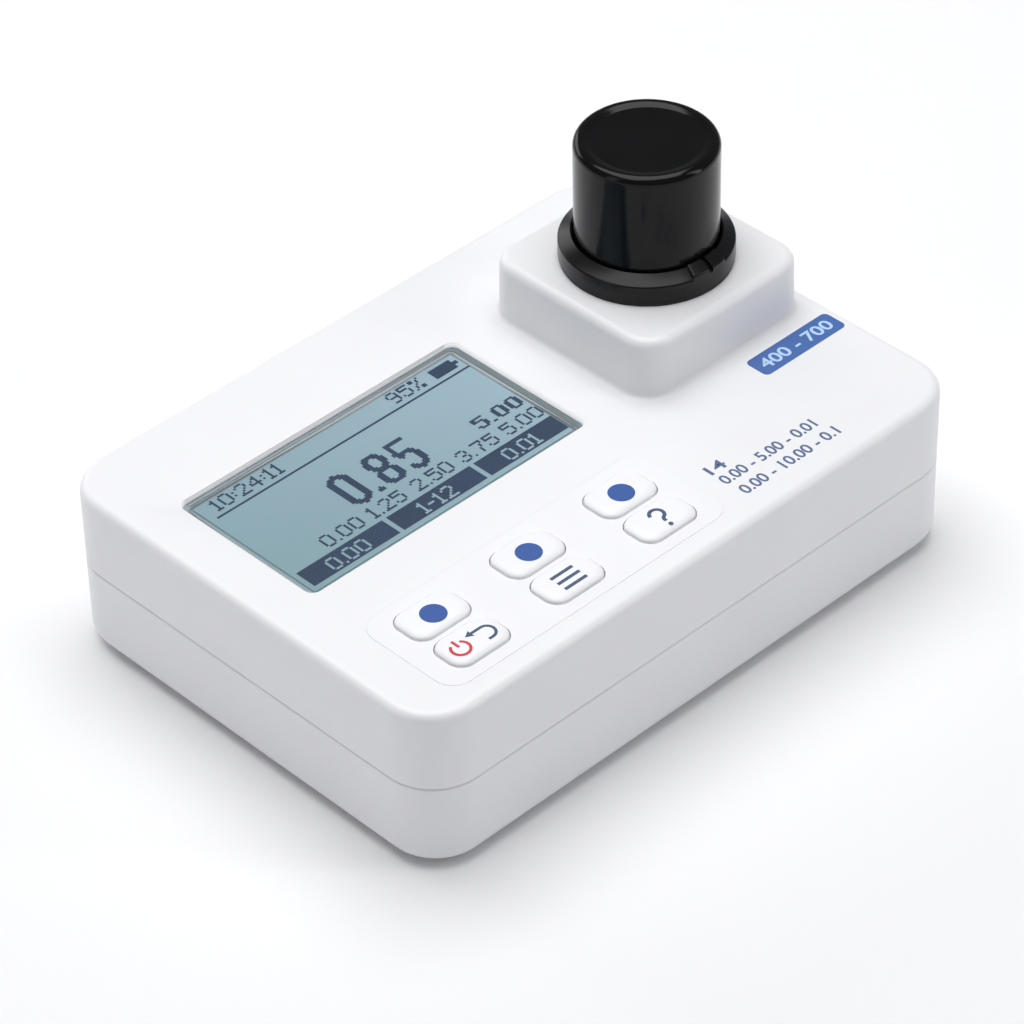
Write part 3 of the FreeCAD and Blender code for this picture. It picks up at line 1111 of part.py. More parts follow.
def make_optics():
    """Lamp side: board, lamp, lens and beam splitter; sensor side: colour filter, light sensor and board."""
    lamp_block = box("lamp_block", "lamp_length", "pad_size", "pad_size", "lamp_back + lamp_length / 2",
                     "well_y", "beam_height - pad_size / 2")
    lamp_tunnel = rod("lamp_tunnel", "lamp_bore", "lamp_length", "lamp_back + lamp_back_wall", "well_y",
                      "beam_height", along_x)
    led_hole = rod("led_hole", "led_radius + optics_gap", "3 * lamp_back_wall",
                   "lamp_back - lamp_back_wall", "well_y", "beam_height", along_x)
    side_tunnel = rod("side_tunnel", "reference_radius + optics_gap", "pad_size / 2", "splitter_x",
                      "well_y - pad_size / 2 - 0.5", "beam_height", along_back)
    keep(cut("lamp_housing_cut", lamp_block, [lamp_tunnel, led_hole, side_tunnel]), "lamp_housing")
    led_post = rod("led_post", "led_radius", "led_length", "lamp_back", "well_y", "beam_height", along_x)
    led_dome = doc.addObject("Part::Sphere", "led_dome")
    bind(led_dome, Radius="led_radius")
    place(led_dome, "lamp_back + led_length", "well_y", "beam_height")
    keep(join("led", [led_post, led_dome]), "lamp_led")
    disc = rod("lens_disc", "lens_radius", "lens_thickness", "lens_x", "well_y", "beam_height", along_x)
    ball = doc.addObject("Part::Sphere", "lens_ball")
    bind(ball, Radius="lens_bulge_radius")
    place(ball, "lens_x + lens_thickness - lens_bulge_radius", "well_y", "beam_height")
    keep(common("lens", disc, ball), "lamp_lens")
    plate_glass = doc.addObject("Part::Box", "splitter")
    bind(plate_glass, Length="splitter_size", Width="splitter_thickness", Height="splitter_height")
    half_along = "splitter_size / 2 * cos(45 deg)"
    half_across = "splitter_thickness / 2 * cos(45 deg)"
    place(plate_glass, f"splitter_x - {half_along} + {half_across}",
          f"well_y - {half_along} - {half_across}", "beam_height - splitter_height / 2",
          Rotation(Vector(0, 0, 1), 45))
    keep(plate_glass, "beam_splitter")
    keep(rod("reference_can", "reference_radius", "reference_length", "splitter_x", "well_y - pad_size / 2",
             "beam_height", along_back), "reference_detector")
    keep(box("lamp_card", "small_board_thickness", "pad_size", "pad_size",
             "lamp_back - small_board_thickness / 2", "well_y", "beam_height - pad_size / 2"), "lamp_board")
    sensor_start = "well_x + sensor_reach"
    sensor_block = box("sensor_block", "sensor_length", "pad_size", "pad_size",
                       f"{sensor_start} + sensor_length / 2", "well_y", "beam_height - pad_size / 2")
    sensor_tunnel = rod("sensor_tunnel", "filter_radius + optics_gap", "sensor_length + 2",
                        f"{sensor_start} - past", "well_y", "beam_height", along_x)
    keep(cut("sensor_housing_cut", sensor_block, [sensor_tunnel]), "sensor_housing")
    keep(rod("filter_disc", "filter_radius", "filter_thickness", f"{sensor_start} + optics_gap", "well_y",
             "beam_height", along_x), "colour_filter")
    keep(rod("sensor_can", "detector_radius", "detector_length",
             f"{sensor_start} + sensor_length - detector_length", "well_y", "beam_height", along_x),
         "light_detector")
    keep(box("sensor_card", "small_board_thickness", "pad_size", "pad_size",
             f"{sensor_start} + sensor_length + small_board_thickness / 2", "well_y",
             "beam_height - pad_size / 2"), "sensor_board")


def make_leads():
    """Wires from the battery contacts, the lamp board and the sensor board to the main board."""
    radius = size("lead_radius")
    wall_x = size("bay_left - bay_wall - lead_radius - 0.1")
    socket_foot = size("board_underside - plug_height")
    leads = []
    for index, (step, shift) in enumerate((("1", 1.2), ("-1", -1.2))):
        y = size(f"bay_y + {step} * cell_pitch")
        target = Vector(size("battery_plug_x"), size("battery_plug_y") + shift, socket_foot)
        route = [Vector(wall_x, y, size("cell_axis")), Vector(wall_x, y, size("cell_axis + 4.5"))]
        if step == "-1":
            route += [Vector(wall_x - 1.4, y + 9, size("cell_axis + 7")),
                      Vector(wall_x - 2.2, y + 22, size("cell_axis + 6.4"))]
        route += [target - Vector(0, 0, 3.6), target]
        leads.append(tube(f"battery_lead_{index}", route, radius))
    group("battery_leads", leads)
    lamp_wire = rod("lamp_wire", "lead_radius", "board_underside - beam_height - pad_size / 2",
                    "lamp_back - small_board_thickness / 2", "well_y", "beam_height + pad_size / 2")
    sensor_x = size("well_x + sensor_reach + sensor_length + small_board_thickness / 2 - 0.3")
    sensor_front = size("well_y - pad_size / 2")
    start = Vector(sensor_x, sensor_front, size("beam_height + 2.5"))
    end = Vector(size("sensor_plug_x + plug_width / 2"), size("sensor_plug_y"),
                 size("board_underside - plug_height / 2"))
    cable = tube("sensor_cable", [
        start,
        start + Vector(0, -9, 0),
        start + Vector(-7, -18, 1.5),
        start + Vector(-18, -22.5, 3),
        end + Vector(14.9, 0, 0),
        end,
    ], size("lead_radius") * 1.5)
    group("sensor_leads", [lamp_wire, cable])


make_top_case()
make_bottom_case()
make_case_hardware()
make_battery_cover()
make_batteries()
make_display()
make_board()
make_keypad()
make_holder()
make_ring()
make_cuvette()
make_optics()
make_leads()

doc.recompute()
faults = [item.Name for item in doc.Objects if "Invalid" in item.State or "Error" in item.State]
if faults:
    raise ValueError(f"not made: {', '.join(faults)}")
unsound = [item.Label for item in subparts
           if item.Shape.isNull() or not item.Shape.isValid() or not item.Shape.Solids]
if unsound:
    raise ValueError(f"not sound solids: {', '.join(unsound)}")
os.makedirs("parts", exist_ok=True)
for item in subparts:
    item.Shape.exportStep(f"parts/{item.Label}.step")
print(f"{len(subparts)} sub-parts written")
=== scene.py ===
import math

import bmesh
import bpy
from mathutils import Matrix, Vector


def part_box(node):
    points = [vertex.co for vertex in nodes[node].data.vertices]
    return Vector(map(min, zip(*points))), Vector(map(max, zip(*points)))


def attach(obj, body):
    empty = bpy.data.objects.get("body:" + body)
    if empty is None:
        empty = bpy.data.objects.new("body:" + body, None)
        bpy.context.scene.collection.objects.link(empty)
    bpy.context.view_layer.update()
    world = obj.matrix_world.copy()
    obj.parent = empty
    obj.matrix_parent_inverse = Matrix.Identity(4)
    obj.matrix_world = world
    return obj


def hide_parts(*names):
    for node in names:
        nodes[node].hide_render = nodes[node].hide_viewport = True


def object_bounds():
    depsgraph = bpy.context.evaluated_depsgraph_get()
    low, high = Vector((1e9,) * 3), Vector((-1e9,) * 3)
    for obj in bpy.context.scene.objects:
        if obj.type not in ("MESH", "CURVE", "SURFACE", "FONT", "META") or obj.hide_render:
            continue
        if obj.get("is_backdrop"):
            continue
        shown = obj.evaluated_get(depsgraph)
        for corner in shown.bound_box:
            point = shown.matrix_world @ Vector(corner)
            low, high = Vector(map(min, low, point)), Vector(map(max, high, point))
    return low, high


# A portable photometer: a white hand-held case with a display and six keys, and a glass cuvette
# under a black light shield. Lengths are metres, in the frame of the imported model.
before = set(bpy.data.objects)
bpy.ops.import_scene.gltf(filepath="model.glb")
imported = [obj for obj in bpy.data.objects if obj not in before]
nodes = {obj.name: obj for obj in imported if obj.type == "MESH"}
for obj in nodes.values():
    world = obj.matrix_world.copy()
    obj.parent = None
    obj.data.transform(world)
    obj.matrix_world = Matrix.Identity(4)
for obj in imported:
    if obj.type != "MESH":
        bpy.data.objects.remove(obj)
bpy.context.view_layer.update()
mm = 0.001


# Upper and lower shell: two thick-walled mouldings in white ABS from a finely spark-eroded tool.
# Four screws from below pull them together over a sealing cord, which leaves a thin line all round.

def linear(colour):
    """Turn an sRGB hex value into a linear colour."""
    parts = [int(colour[start:start + 2], 16) / 255 for start in (0, 2, 4)]
    return (*(part / 12.92 if part <= 0.04045 else ((part + 0.055) / 1.055) ** 2.4 for part in parts), 1.0)


def add(tree, kind, settings=None, inputs=None):
    """Add one node, set its properties and plain inputs, and give its other inputs a link or a value."""
    item = tree.nodes.new(kind)
    for name, value in (settings or {}).items():
        if isinstance(name, int) or name in item.inputs:
            item.inputs[name].default_value = value
        else:
            setattr(item, name, value)
    for name, source in (inputs or {}).items():
        if isinstance(source, bpy.types.NodeSocket):
            tree.links.new(source, item.inputs[name])
        else:
            item.inputs[name].default_value = source
    return item


def new_material(name, colour, roughness, sockets=None):
    """A material with one principled shader and its plain sockets set."""
    material = bpy.data.materials.new(name)
    material.use_nodes = True
    shader = material.node_tree.nodes["Principled BSDF"]
    shader.inputs["Base Color"].default_value = linear(colour)
    shader.inputs["Roughness"].default_value = roughness
    for socket, value in (sockets or {}).items():
        shader.inputs[socket].default_value = value
    return material


def driven(tree, sources):
    """Link sockets to the named inputs of a material's shader."""
    for name, source in sources.items():
        tree.links.new(source, tree.nodes["Principled BSDF"].inputs[name])


def moulded(name, colour, roughness, grain, depth, other_colour, sockets=None, patch=18, gloss_change=0.12):
    """A material with fine pits, grain across and depth deep in mm, and slow changes of tone and gloss."""
    material = new_material(name, colour, roughness, sockets)
    tree = material.node_tree
    point = add(tree, "ShaderNodeTexCoord").outputs["Object"]
    pits = add(tree, "ShaderNodeTexNoise", {"Scale": 1 / (grain * mm), "Detail": 2.0}, {"Vector": point})
    relief = add(tree, "ShaderNodeBump", {"Distance": depth * mm}, {"Height": pits.outputs["Fac"]})
    patches = add(tree, "ShaderNodeTexNoise", {"Scale": 1 / (patch * mm), "Detail": 3.0}, {"Vector": point})
    tone = add(tree, "ShaderNodeMix", {"data_type": "RGBA", 6: linear(colour), 7: linear(other_colour)},
               {0: patches.outputs["Fac"]})
    gloss = add(tree, "ShaderNodeMapRange",
                {"To Min": roughness * (1 - gloss_change), "To Max": roughness * (1 + gloss_change)},
                {"Value": patches.outputs["Fac"]})
    driven(tree, {"Normal": relief.outputs["Normal"], "Base Color": tone.outputs[2],
                  "Roughness": gloss.outputs["Result"]})
    return material


def finished(piece, material, body, slot, *stood_for):
    """Give a piece its material and its body, and hide the nodes that it stands for. The slot is not used.
    """
    piece.data.materials.clear()
    piece.data.materials.append(material)
    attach(piece, body)
    if stood_for:
        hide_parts(*stood_for)
    return piece


def linked(name, data):
    """An object with its data, put into the scene."""
    item = bpy.data.objects.new(name, data)
    bpy.context.scene.collection.objects.link(item)
    return item


def made(name, shape, crisp_above=35):
    """Turn a bmesh into an object whose faces are smooth except at its edges."""
    mesh = bpy.data.meshes.new(name)
    shape.to_mesh(mesh)
    shape.free()
    mesh.shade_smooth()
    mesh.set_sharp_from_angle(angle=math.radians(crisp_above))
    piece = linked(name, mesh)
    even = piece.modifiers.new("even_faces", "WEIGHTED_NORMAL")
    even.keep_sharp = True
    even.weight = 80
    return piece


def welded(name, node):
    """A moulding's own mesh with its loose triangles welded, so that its roundings shade smoothly."""
    shape = bmesh.new()
    shape.from_mesh(nodes[node].data)
    bmesh.ops.remove_doubles(shape, verts=shape.verts, dist=0.002 * mm)
    return made(name, shape)


# White ABS is slightly cool, with a satin skin. Its real pits are about 0.1 mm across, too fine to
# show at this distance, so they are drawn three times as wide and very shallow.
white_abs = moulded("white_abs_satin_moulded", "f3f3f5", 0.38, 0.3, 0.0035, "eeeef1", {"IOR": 1.53})
finished(welded("upper_shell", "top_case"), white_abs, "case", "case_plastic", "top_case")
finished(welded("lower_shell", "bottom_case"), white_abs, "case", "case_plastic", "bottom_case")
finished(welded("bay_cover", "battery_cover"), white_abs, "case", "case_plastic", "battery_cover")


# Seals: a round cord in the joint of the shells, a frame in the battery cover and a flat ring under
# the black ring. All are nitrile rubber, dull and nearly black, pressed flat where they seal.

def painted(material, *members):
    """Give the plain meshes of some nodes their material."""
    for node in members:
        nodes[node].data.materials.clear()
        nodes[node].data.materials.append(material)


nitrile_black = moulded("nitrile_rubber_black", "1c1c1d", 0.62, 0.25, 0.006, "242425")
painted(nitrile_black, "case_gasket", "cover_gasket", "ring_gasket")


# Four feet: discs of grey thermoplastic rubber with a domed rim, glued into round pockets in the bottom.
# Their faces are matt from the tool, and a little dust keeps them lighter than the black seals.

def turned(name, profile, centre, steps=144):
    """Turn an outline of radius and height, both in mm, round an upright axis. Radius 0 is a pole."""
    shape = bmesh.new()
    loops = []
    for radius, height in profile:
        if radius == 0:
            loops.append([shape.verts.new((centre.x, centre.y, height * mm))])
        else:
            loops.append([shape.verts.new((centre.x + radius * mm * math.cos(step / steps * math.tau),
                                           centre.y + radius * mm * math.sin(step / steps * math.tau),
                                           height * mm)) for step in range(steps)])
    closed = profile[0][0] != 0
    for low, high in zip(loops, loops[1:] + (loops[:1] if closed else [])):
        for step in range(steps):
            after = (step + 1) % steps
            corner = [low[step % len(low)], low[after % len(low)], high[after % len(high)],
                      high[step % len(high)]]
            shape.faces.new(list(dict.fromkeys(corner)))
    bmesh.ops.recalc_face_normals(shape, faces=shape.faces)
    return made(name, shape)


def quarter(radius, height, size, start, steps=6):
    """Points of a quarter round about a centre of radius and height, from so many degrees, clockwise."""
    angles = [math.radians(start - 90 * step / steps) for step in range(steps + 1)]
    return [(radius + size * math.cos(angle), height + size * math.sin(angle)) for angle in angles]


def opened_tree(name, kinds):
    """A geometry tree with named inputs of some kinds, and the sockets that carry them."""
    tree = bpy.data.node_groups.new(name, "GeometryNodeTree")
    for label, kind in kinds.items():
        tree.interface.new_socket(label, in_out="INPUT", socket_type="NodeSocket" + kind)
    tree.interface.new_socket("Geometry", in_out="OUTPUT", socket_type="NodeSocketGeometry")
    return tree, add(tree, "NodeGroupInput").outputs


def closed_tree(tree, shape, material):
    """End a tree: its copies become real, take a material and leave as its result."""
    real = add(tree, "GeometryNodeRealizeInstances", None, {"Geometry": shape})
    coloured = add(tree, "GeometryNodeSetMaterial", None,
                   {"Geometry": real.outputs["Geometry"], "Material": material})
    add(tree, "NodeGroupOutput", None, {"Geometry": coloured.outputs["Geometry"]})
    return tree


def copies_tree():
    """A tree that puts a copy of one piece at each point of a mesh."""
    tree, given = opened_tree("copies_at_points", {"Points": "Geometry", "Piece": "Object",
                                                   "Scale": "Vector", "Material": "Material"})
    piece = add(tree, "GeometryNodeObjectInfo", None, {"Object": given["Piece"]})
    copies = add(tree, "GeometryNodeInstanceOnPoints", None,
                 {"Points": given["Points"], "Instance": piece.outputs["Geometry"],
                  "Scale": given["Scale"]})
    return closed_tree(tree, copies.outputs["Instances"], given["Material"])


def grown(name, tree, source, values):
    """Run a tree on a source mesh with its named inputs set, and keep the result as a plain mesh."""
    carrier = linked(name + "_carrier", source)
    modifier = carrier.modifiers.new("tree", "NODES")
    modifier.node_group = tree
    for item in tree.interface.items_tree:
        if item.name in values:
            modifier[item.identifier] = values[item.name]
    bpy.context.view_layer.update()
    mesh = bpy.data.meshes.new_from_object(carrier.evaluated_get(bpy.context.evaluated_depsgraph_get()))
    carrier.modifiers.remove(modifier)
    bpy.data.objects.remove(carrier)
    mesh.name = name
    return linked(name, mesh)


def points_mesh(name, places):
    mesh = bpy.data.meshes.new(name)
    mesh.from_pydata([tuple(place) for place in places], [], [])
    return mesh


foot_rubber = moulded("thermoplastic_rubber_grey", "4b4d50", 0.7, 0.3, 0.01, "5a5c5f")
feet_low, feet_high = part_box("rubber_feet")
foot_radius = 5.0
foot_height = (feet_high.z - feet_low.z) / mm
foot_rim = 0.5
one_foot = turned("one_foot", [
    (0, 0),
    *quarter(foot_radius - foot_rim, foot_rim, foot_rim, 0)[::-1],
    (foot_radius, foot_height),
    (0, foot_height),
], Vector((0, 0, 0)), 72)
foot_x = feet_high.x - foot_radius * mm
foot_y = feet_high.y - foot_radius * mm
corners = [(side, end) for side in (-1, 1) for end in (-1, 1)]
copies = copies_tree()
feet = grown("feet", copies,
             points_mesh("feet_places", [(side * foot_x, end * foot_y, 0) for side, end in corners]),
             {"Piece": one_foot, "Scale": (1, 1, 1), "Material": foot_rubber})
finished(feet, foot_rubber, "case", "foot_rubber", "rubber_feet")
bpy.data.objects.remove(one_foot)


# Screws: pan heads with a cross recess and a coarse thread for plastic, cold-headed in steel wire and
# zinc plated, which gives a pale and slightly cloudy gleam. Four hold the case, two the battery cover,
# four the board and four the well.

def screw_tree():
    """A tree that makes a threaded pan head screw, head down, at each point of a mesh."""
    sizes = ("Shank Radius", "Shank Length", "Head Radius", "Head Height", "Pitch", "Recess Width",
             "Recess Depth")
    tree, given = opened_tree("pan_head_screws", {"Points": "Geometry", **dict.fromkeys(sizes, "Float"),
                                                  "Material": "Material"})

    # Each row names a length and says how it follows from the ones before it.
    length = {name: given[name] for name in sizes}
    for name, operation, first, second in (
            ("core", "MULTIPLY", "Shank Radius", 0.78),
            ("crest", "SUBTRACT", "Shank Radius", "core"),
            ("turns", "DIVIDE", "Shank Length", "Pitch"),
            ("shank middle", "MULTIPLY", "Shank Length", 0.5),
            ("head middle", "MULTIPLY", "Head Height", -0.5),
            ("head face", "MULTIPLY", "Head Height", -1.0),
            ("dome", "MULTIPLY", "Head Radius", 1.25),
            ("dome middle", "SUBTRACT", "dome", "Head Height"),
            ("bar", "MULTIPLY", "Head Radius", 1.15),
            ("bar depth", "MULTIPLY", "Recess Depth", 2.0)):
        item = add(tree, "ShaderNodeMath", {"operation": operation},
                   {0: length[first], 1: length.get(second, second)})
        length[name] = item.outputs[0]

    post = add(tree, "GeometryNodeMeshCylinder", {"Vertices": 32},
               {"Radius": length["core"], "Depth": length["Shank Length"]})
    spiral = add(tree, "GeometryNodeCurveSpiral", {"Resolution": 24},
                 {"Rotations": length["turns"], "Start Radius": length["core"],
                  "End Radius": length["core"], "Height": length["Shank Length"]})
    tooth = add(tree, "GeometryNodeCurvePrimitiveCircle", {"Resolution": 3}, {"Radius": length["crest"]})
    thread = add(tree, "GeometryNodeCurveToMesh", {"Fill Caps": True},
                 {"Curve": spiral.outputs["Curve"], "Profile Curve": tooth.outputs["Curve"]})
    drum = add(tree, "GeometryNodeMeshCylinder", {"Vertices": 64},
               {"Radius": length["Head Radius"], "Depth": length["Head Height"]})
    dome = add(tree, "GeometryNodeMeshUVSphere", {"Segments": 64, "Rings": 48}, {"Radius": length["dome"]})
    bars = []
    for across, along in (("bar", "Recess Width"), ("Recess Width", "bar")):
        size = add(tree, "ShaderNodeCombineXYZ", None,
                   {"X": length[across], "Y": length[along], "Z": length["bar depth"]})
        bars.append(add(tree, "GeometryNodeMeshCube", None, {"Size": size.outputs["Vector"]}))
    placed = []
    for shape, height in ((post, "shank middle"), (drum, "head middle"), (dome, "dome middle"),
                          (bars[0], "head face"), (bars[1], "head face")):
        place = add(tree, "ShaderNodeCombineXYZ", None, {"Z": length[height]})
        placed.append(add(tree, "GeometryNodeTransform", None,
                          {"Geometry": shape.outputs["Mesh"], "Translation": place.outputs["Vector"]}))
    post, drum, dome, *bars = (item.outputs["Geometry"] for item in placed)
    head = add(tree, "GeometryNodeMeshBoolean", {"operation": "INTERSECT"})
    recess = add(tree, "GeometryNodeMeshBoolean", {"operation": "DIFFERENCE"},
                 {"Mesh 1": head.outputs["Mesh"]})
    screw = add(tree, "GeometryNodeJoinGeometry")
    for parts, socket in (((drum, dome), head.inputs["Mesh 2"]), (bars, recess.inputs["Mesh 2"]),
                          ((post, thread.outputs["Mesh"], recess.outputs["Mesh"]),
                           screw.inputs["Geometry"])):
        for part in parts:
            tree.links.new(part, socket)
    copied = add(tree, "GeometryNodeInstanceOnPoints", None,
                 {"Points": given["Points"], "Instance": screw.outputs["Geometry"]})
    return closed_tree(tree, copied.outputs["Instances"], given["Material"])


zinc_steel = moulded("steel_zinc_plated", "c3c6ca", 0.28, 0.12, 0.002, "adb1b6", {"Metallic": 1.0}, patch=2,
                     gloss_change=0.3)
screws = screw_tree()
for name, node, shank, head, head_height, thread_pitch, corners_held in (
        ("case_fixings", "case_screws", 1.5, 2.75, 2.2, 1.1, "all"),
        ("cover_fixings", "cover_screws", 1.25, 1.9, 1.3, 0.9, "back left and front right"),
        ("well_fixings", "holder_screws", 1.0, 1.9, 1.3, 0.8, "all")):
    low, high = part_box(node)
    left, right = low.x + head * mm, high.x - head * mm
    front, back = low.y + head * mm, high.y - head * mm
    seat = low.z + head_height * mm
    if corners_held == "all":
        seats = [(x, y, seat) for x in (left, right) for y in (front, back)]
    else:
        seats = [(left, back, seat), (right, front, seat)]
    piece = grown(name, screws, points_mesh(name + "_places", seats), {
        "Shank Radius": shank * mm, "Shank Length": high.z - seat, "Head Radius": head * mm,
        "Head Height": head_height * mm, "Pitch": thread_pitch * mm, "Recess Width": 0.28 * head * mm,
        "Recess Depth": 0.5 * head_height * mm, "Material": zinc_steel})
    finished(piece, zinc_steel, "case", "steel", node)
painted(zinc_steel, "board_screws")


# Display: a dot matrix of 128 by 64 on glass, seen through a clear acrylic pane that is bonded into
# the deck. The glass is grey-blue and its dots navy. It shows the time, a reading and plain numbers.

def rounded_ring(width, depth, corner, centre, height, steps=8):
    """Points of a rectangle with round corners, anticlockwise from above."""
    points = []
    for number, (side, end) in enumerate(((1, -1), (1, 1), (-1, 1), (-1, -1))):
        for step in range(steps + 1):
            angle = (number - 1 + step / steps) * math.pi / 2
            points.append(Vector((centre.x + side * (width / 2 - corner) + corner * math.cos(angle),
                                  centre.y + end * (depth / 2 - corner) + corner * math.sin(angle),
                                  height)))
    return points


def lofted(name, rings, crisp_above=35):
    """A closed skin through rings of points from the lowest up, with a face over each end."""
    shape = bmesh.new()
    loops = [[shape.verts.new(point) for point in ring] for ring in rings]
    count = len(rings[0])
    for low, high in zip(loops, loops[1:]):
        for index in range(count):
            after = (index + 1) % count
            shape.faces.new((low[index], low[after], high[after], high[index]))
    shape.faces.new(loops[0][::-1])
    shape.faces.new(loops[-1])
    return made(name, shape, crisp_above)


def slab(name, low, high, corner, edge):
    """A plate between two corners of a box, with round upright corners and a bevelled upper rim."""
    centre = (low + high) / 2
    width = high.x - low.x
    depth = high.y - low.y
    rings = [rounded_ring(width, depth, corner, centre, low.z)]
    rings += [rounded_ring(width - 2 * edge * (1 - math.cos(turn)), depth - 2 * edge * (1 - math.cos(turn)),
                           max(corner - edge * (1 - math.cos(turn)), 0.05 * mm), centre,
                           high.z - edge + edge * math.sin(turn))
              for turn in (math.radians(step * 22.5) for step in range(5))]
    return lofted(name, rings)


# The plates are grey-green float glass, of which the pane shows only the rims.
glass_low, glass_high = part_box("lcd_glass")
film = 0.2 * mm
dots_across = 128
pitch = 66 * mm / dots_across
lcd_plates_glass = moulded("lcd_float_glass", "7d949a", 0.12, 4, 0.0005, "8aa0a5", {"IOR": 1.52})
finished(slab("lcd_plates", glass_low, glass_high - Vector((0, 0, film)), 0.3 * mm, 0.1 * mm),
         lcd_plates_glass, "case", "display_glass", "lcd_glass")

# The polariser carries the display's grey-blue with painted light on it: greener and darker towards the
# front left, paler towards the back right, as the light falls across the display.
polariser = new_material("lcd_polariser_grey_blue", "8faab4", 0.32, {"IOR": 1.5})
tree = polariser.node_tree
point = add(tree, "ShaderNodeTexCoord").outputs["Object"]
turned_point = add(tree, "ShaderNodeMapping", {"Rotation": (0, 0, math.radians(-38)),
                                               "Scale": (1 / 0.062, 1 / 0.062, 1)}, {"Vector": point})
slope = add(tree, "ShaderNodeSeparateXYZ", None, {0: turned_point.outputs[0]})
# Painted light: this sweep lightens the display towards the back right.
sweep = add(tree, "ShaderNodeMapRange", {"From Min": -0.9, "From Max": 0.35}, {"Value": slope.outputs["X"]})
cells = add(tree, "ShaderNodeTexBrick",
            {"offset": 0.0, "Scale": 1.0, "Color1": (1, 1, 1, 1), "Color2": (1, 1, 1, 1),
             "Mortar": (0.955, 0.965, 0.97, 1), "Mortar Size": 0.012 * mm, "Mortar Smooth": 0.2,
             "Brick Width": pitch, "Row Height": pitch}, {"Vector": point})
tone = add(tree, "ShaderNodeMix", {"data_type": "RGBA", 6: linear("84a3ab"), 7: linear("a0bac8")},
           {0: sweep.outputs["Result"]})
dimmed = add(tree, "ShaderNodeMix", {"data_type": "RGBA", "blend_type": "MULTIPLY", 0: 1.0},
             {6: tone.outputs[2], 7: cells.outputs["Color"]})
driven(tree, {"Base Color": dimmed.outputs[2]})
film_inset = 0.5 * mm
film_low = Vector((glass_low.x + film_inset, glass_low.y + film_inset, glass_high.z - film))
film_high = Vector((glass_high.x - film_inset, glass_high.y - film_inset, glass_high.z))
finished(slab("lcd_polariser", film_low, film_high, 0.3 * mm, 0.05 * mm), polariser, "case",
         "display_glass")

# Dots of the matrix. Rows count up from the front, columns from the left.
matrix_left = -56.8 * mm
matrix_front = -5.5 * mm
matrix_corner = Vector((matrix_left, matrix_front, glass_high.z))
lit = set()
glyphs = {
    "0": ".###. #...# #...# #...# #...# #...# .###.", "1": ".#. ##. .#. .#. .#. .#. ###",
    "2": ".###. #...# ....# ...#. ..#.. .#... #####", "3": ".###. #...# ....# ..##. ....# #...# .###.",
    "4": "...#. ..##. .#.#. #..#. ##### ...#. ...#.", "5": "##### #.... ####. ....# ....# #...# .###.",
    "6": ".###. #.... #.... ####. #...# #...# .###.", "7": "##### ....# ...#. ...#. ..#.. ..#.. ..#..",
    "8": ".###. #...# #...# .###. #...# #...# .###.", "9": ".###. #...# #...# .#### ....# ....# .###.",
    ":": ". . # . # . .", ".": ". . . . . . #", "-": "... ... ... ### ... ... ...",
    "%": "##..# ##.#. ...#. ..#.. .#... .#.## #..##", " ": ".. .. .. .. .. .. ..",
}


def write_dots(text, column, row, bold=False):
    """The dots of a line of small figures whose lower left dot is at a column and row."""
    dots = set()
    for sign in text:
        rows = glyphs[sign].split()
        for up, cells in enumerate(reversed(rows)):
            for across, cell in enumerate(cells):
                if cell == "#":
                    dots.add((column + across, row + up))
                    if bold:
                        dots.add((column + across + 1, row + up))
        column += len(rows[0]) + (2 if bold else 1)
    return dots


def line_dots(columns, rows):
    return {(column, row) for column in range(*columns) for row in range(*rows)}


lit |= write_dots("10:24:11", 4, 56)
lit |= write_dots("95%", 92, 56)
lit |= line_dots((114, 125), (56, 62)) | line_dots((125, 127), (58, 60))
lit |= line_dots((1, dots_across), (53, 54))
lit |= write_dots("5.00", 104, 22, bold=True)
for number, column in zip(("0.00", "1.25", "2.50", "3.75", "5.00"), (18, 41, 63, 86, 109)):
    lit |= write_dots(number, column, 12)
for column, width, number, inset in ((0, 42, "0.00", 11), (44, 42, "1-12", 12), (88, 40, "0.01", 11)):
    lit |= line_dots((column, column + width), (0, 10)) - write_dots(number, column + inset, 1)


def bow(x, y, across, up, start, end, steps=24):
    """Points along part of an ellipse, in dots."""
    angles = [math.radians(start + (end - start) * step / steps) for step in range(steps + 1)]
    return [(x + across * math.cos(angle), y + up * math.sin(angle)) for angle in angles]


# The large figures are drawn as strokes and then set in whole dots, as the display does.
large_strokes = (
    (0, [*bow(5, 14.2, 3.8, 4, 0, 180), *bow(5, 4.8, 3.8, 4, 180, 360), (8.8, 14.2)]),
    (13.5, [(0.3, 1.2), (0.5, 1.2)]),
    (17, bow(5, 14.1, 3.4, 4.1, 0, 360)),
    (17, bow(5, 5.2, 3.8, 4.4, 0, 360)),
    (29, [(8.4, 18.1), (2.2, 18.1), (1.7, 11.2), *bow(5, 5.9, 3.8, 5.1, 130, -142)]),
)
stroke_reach = 1.35
for shift, stroke in large_strokes:
    for column in range(-2, 12):
        for row in range(-1, 21):
            centre = Vector((column + 0.5, row + 0.5))
            for first, last in zip(stroke, stroke[1:]):
                start = Vector(first)
                run = Vector(last) - start
                along = max(0.0, min(1.0, (centre - start).dot(run) / max(run.length_squared, 1e-9)))
                if (centre - start - run * along).length < stroke_reach:
                    lit.add((41 + int(shift) + column, 22 + row))
                    break

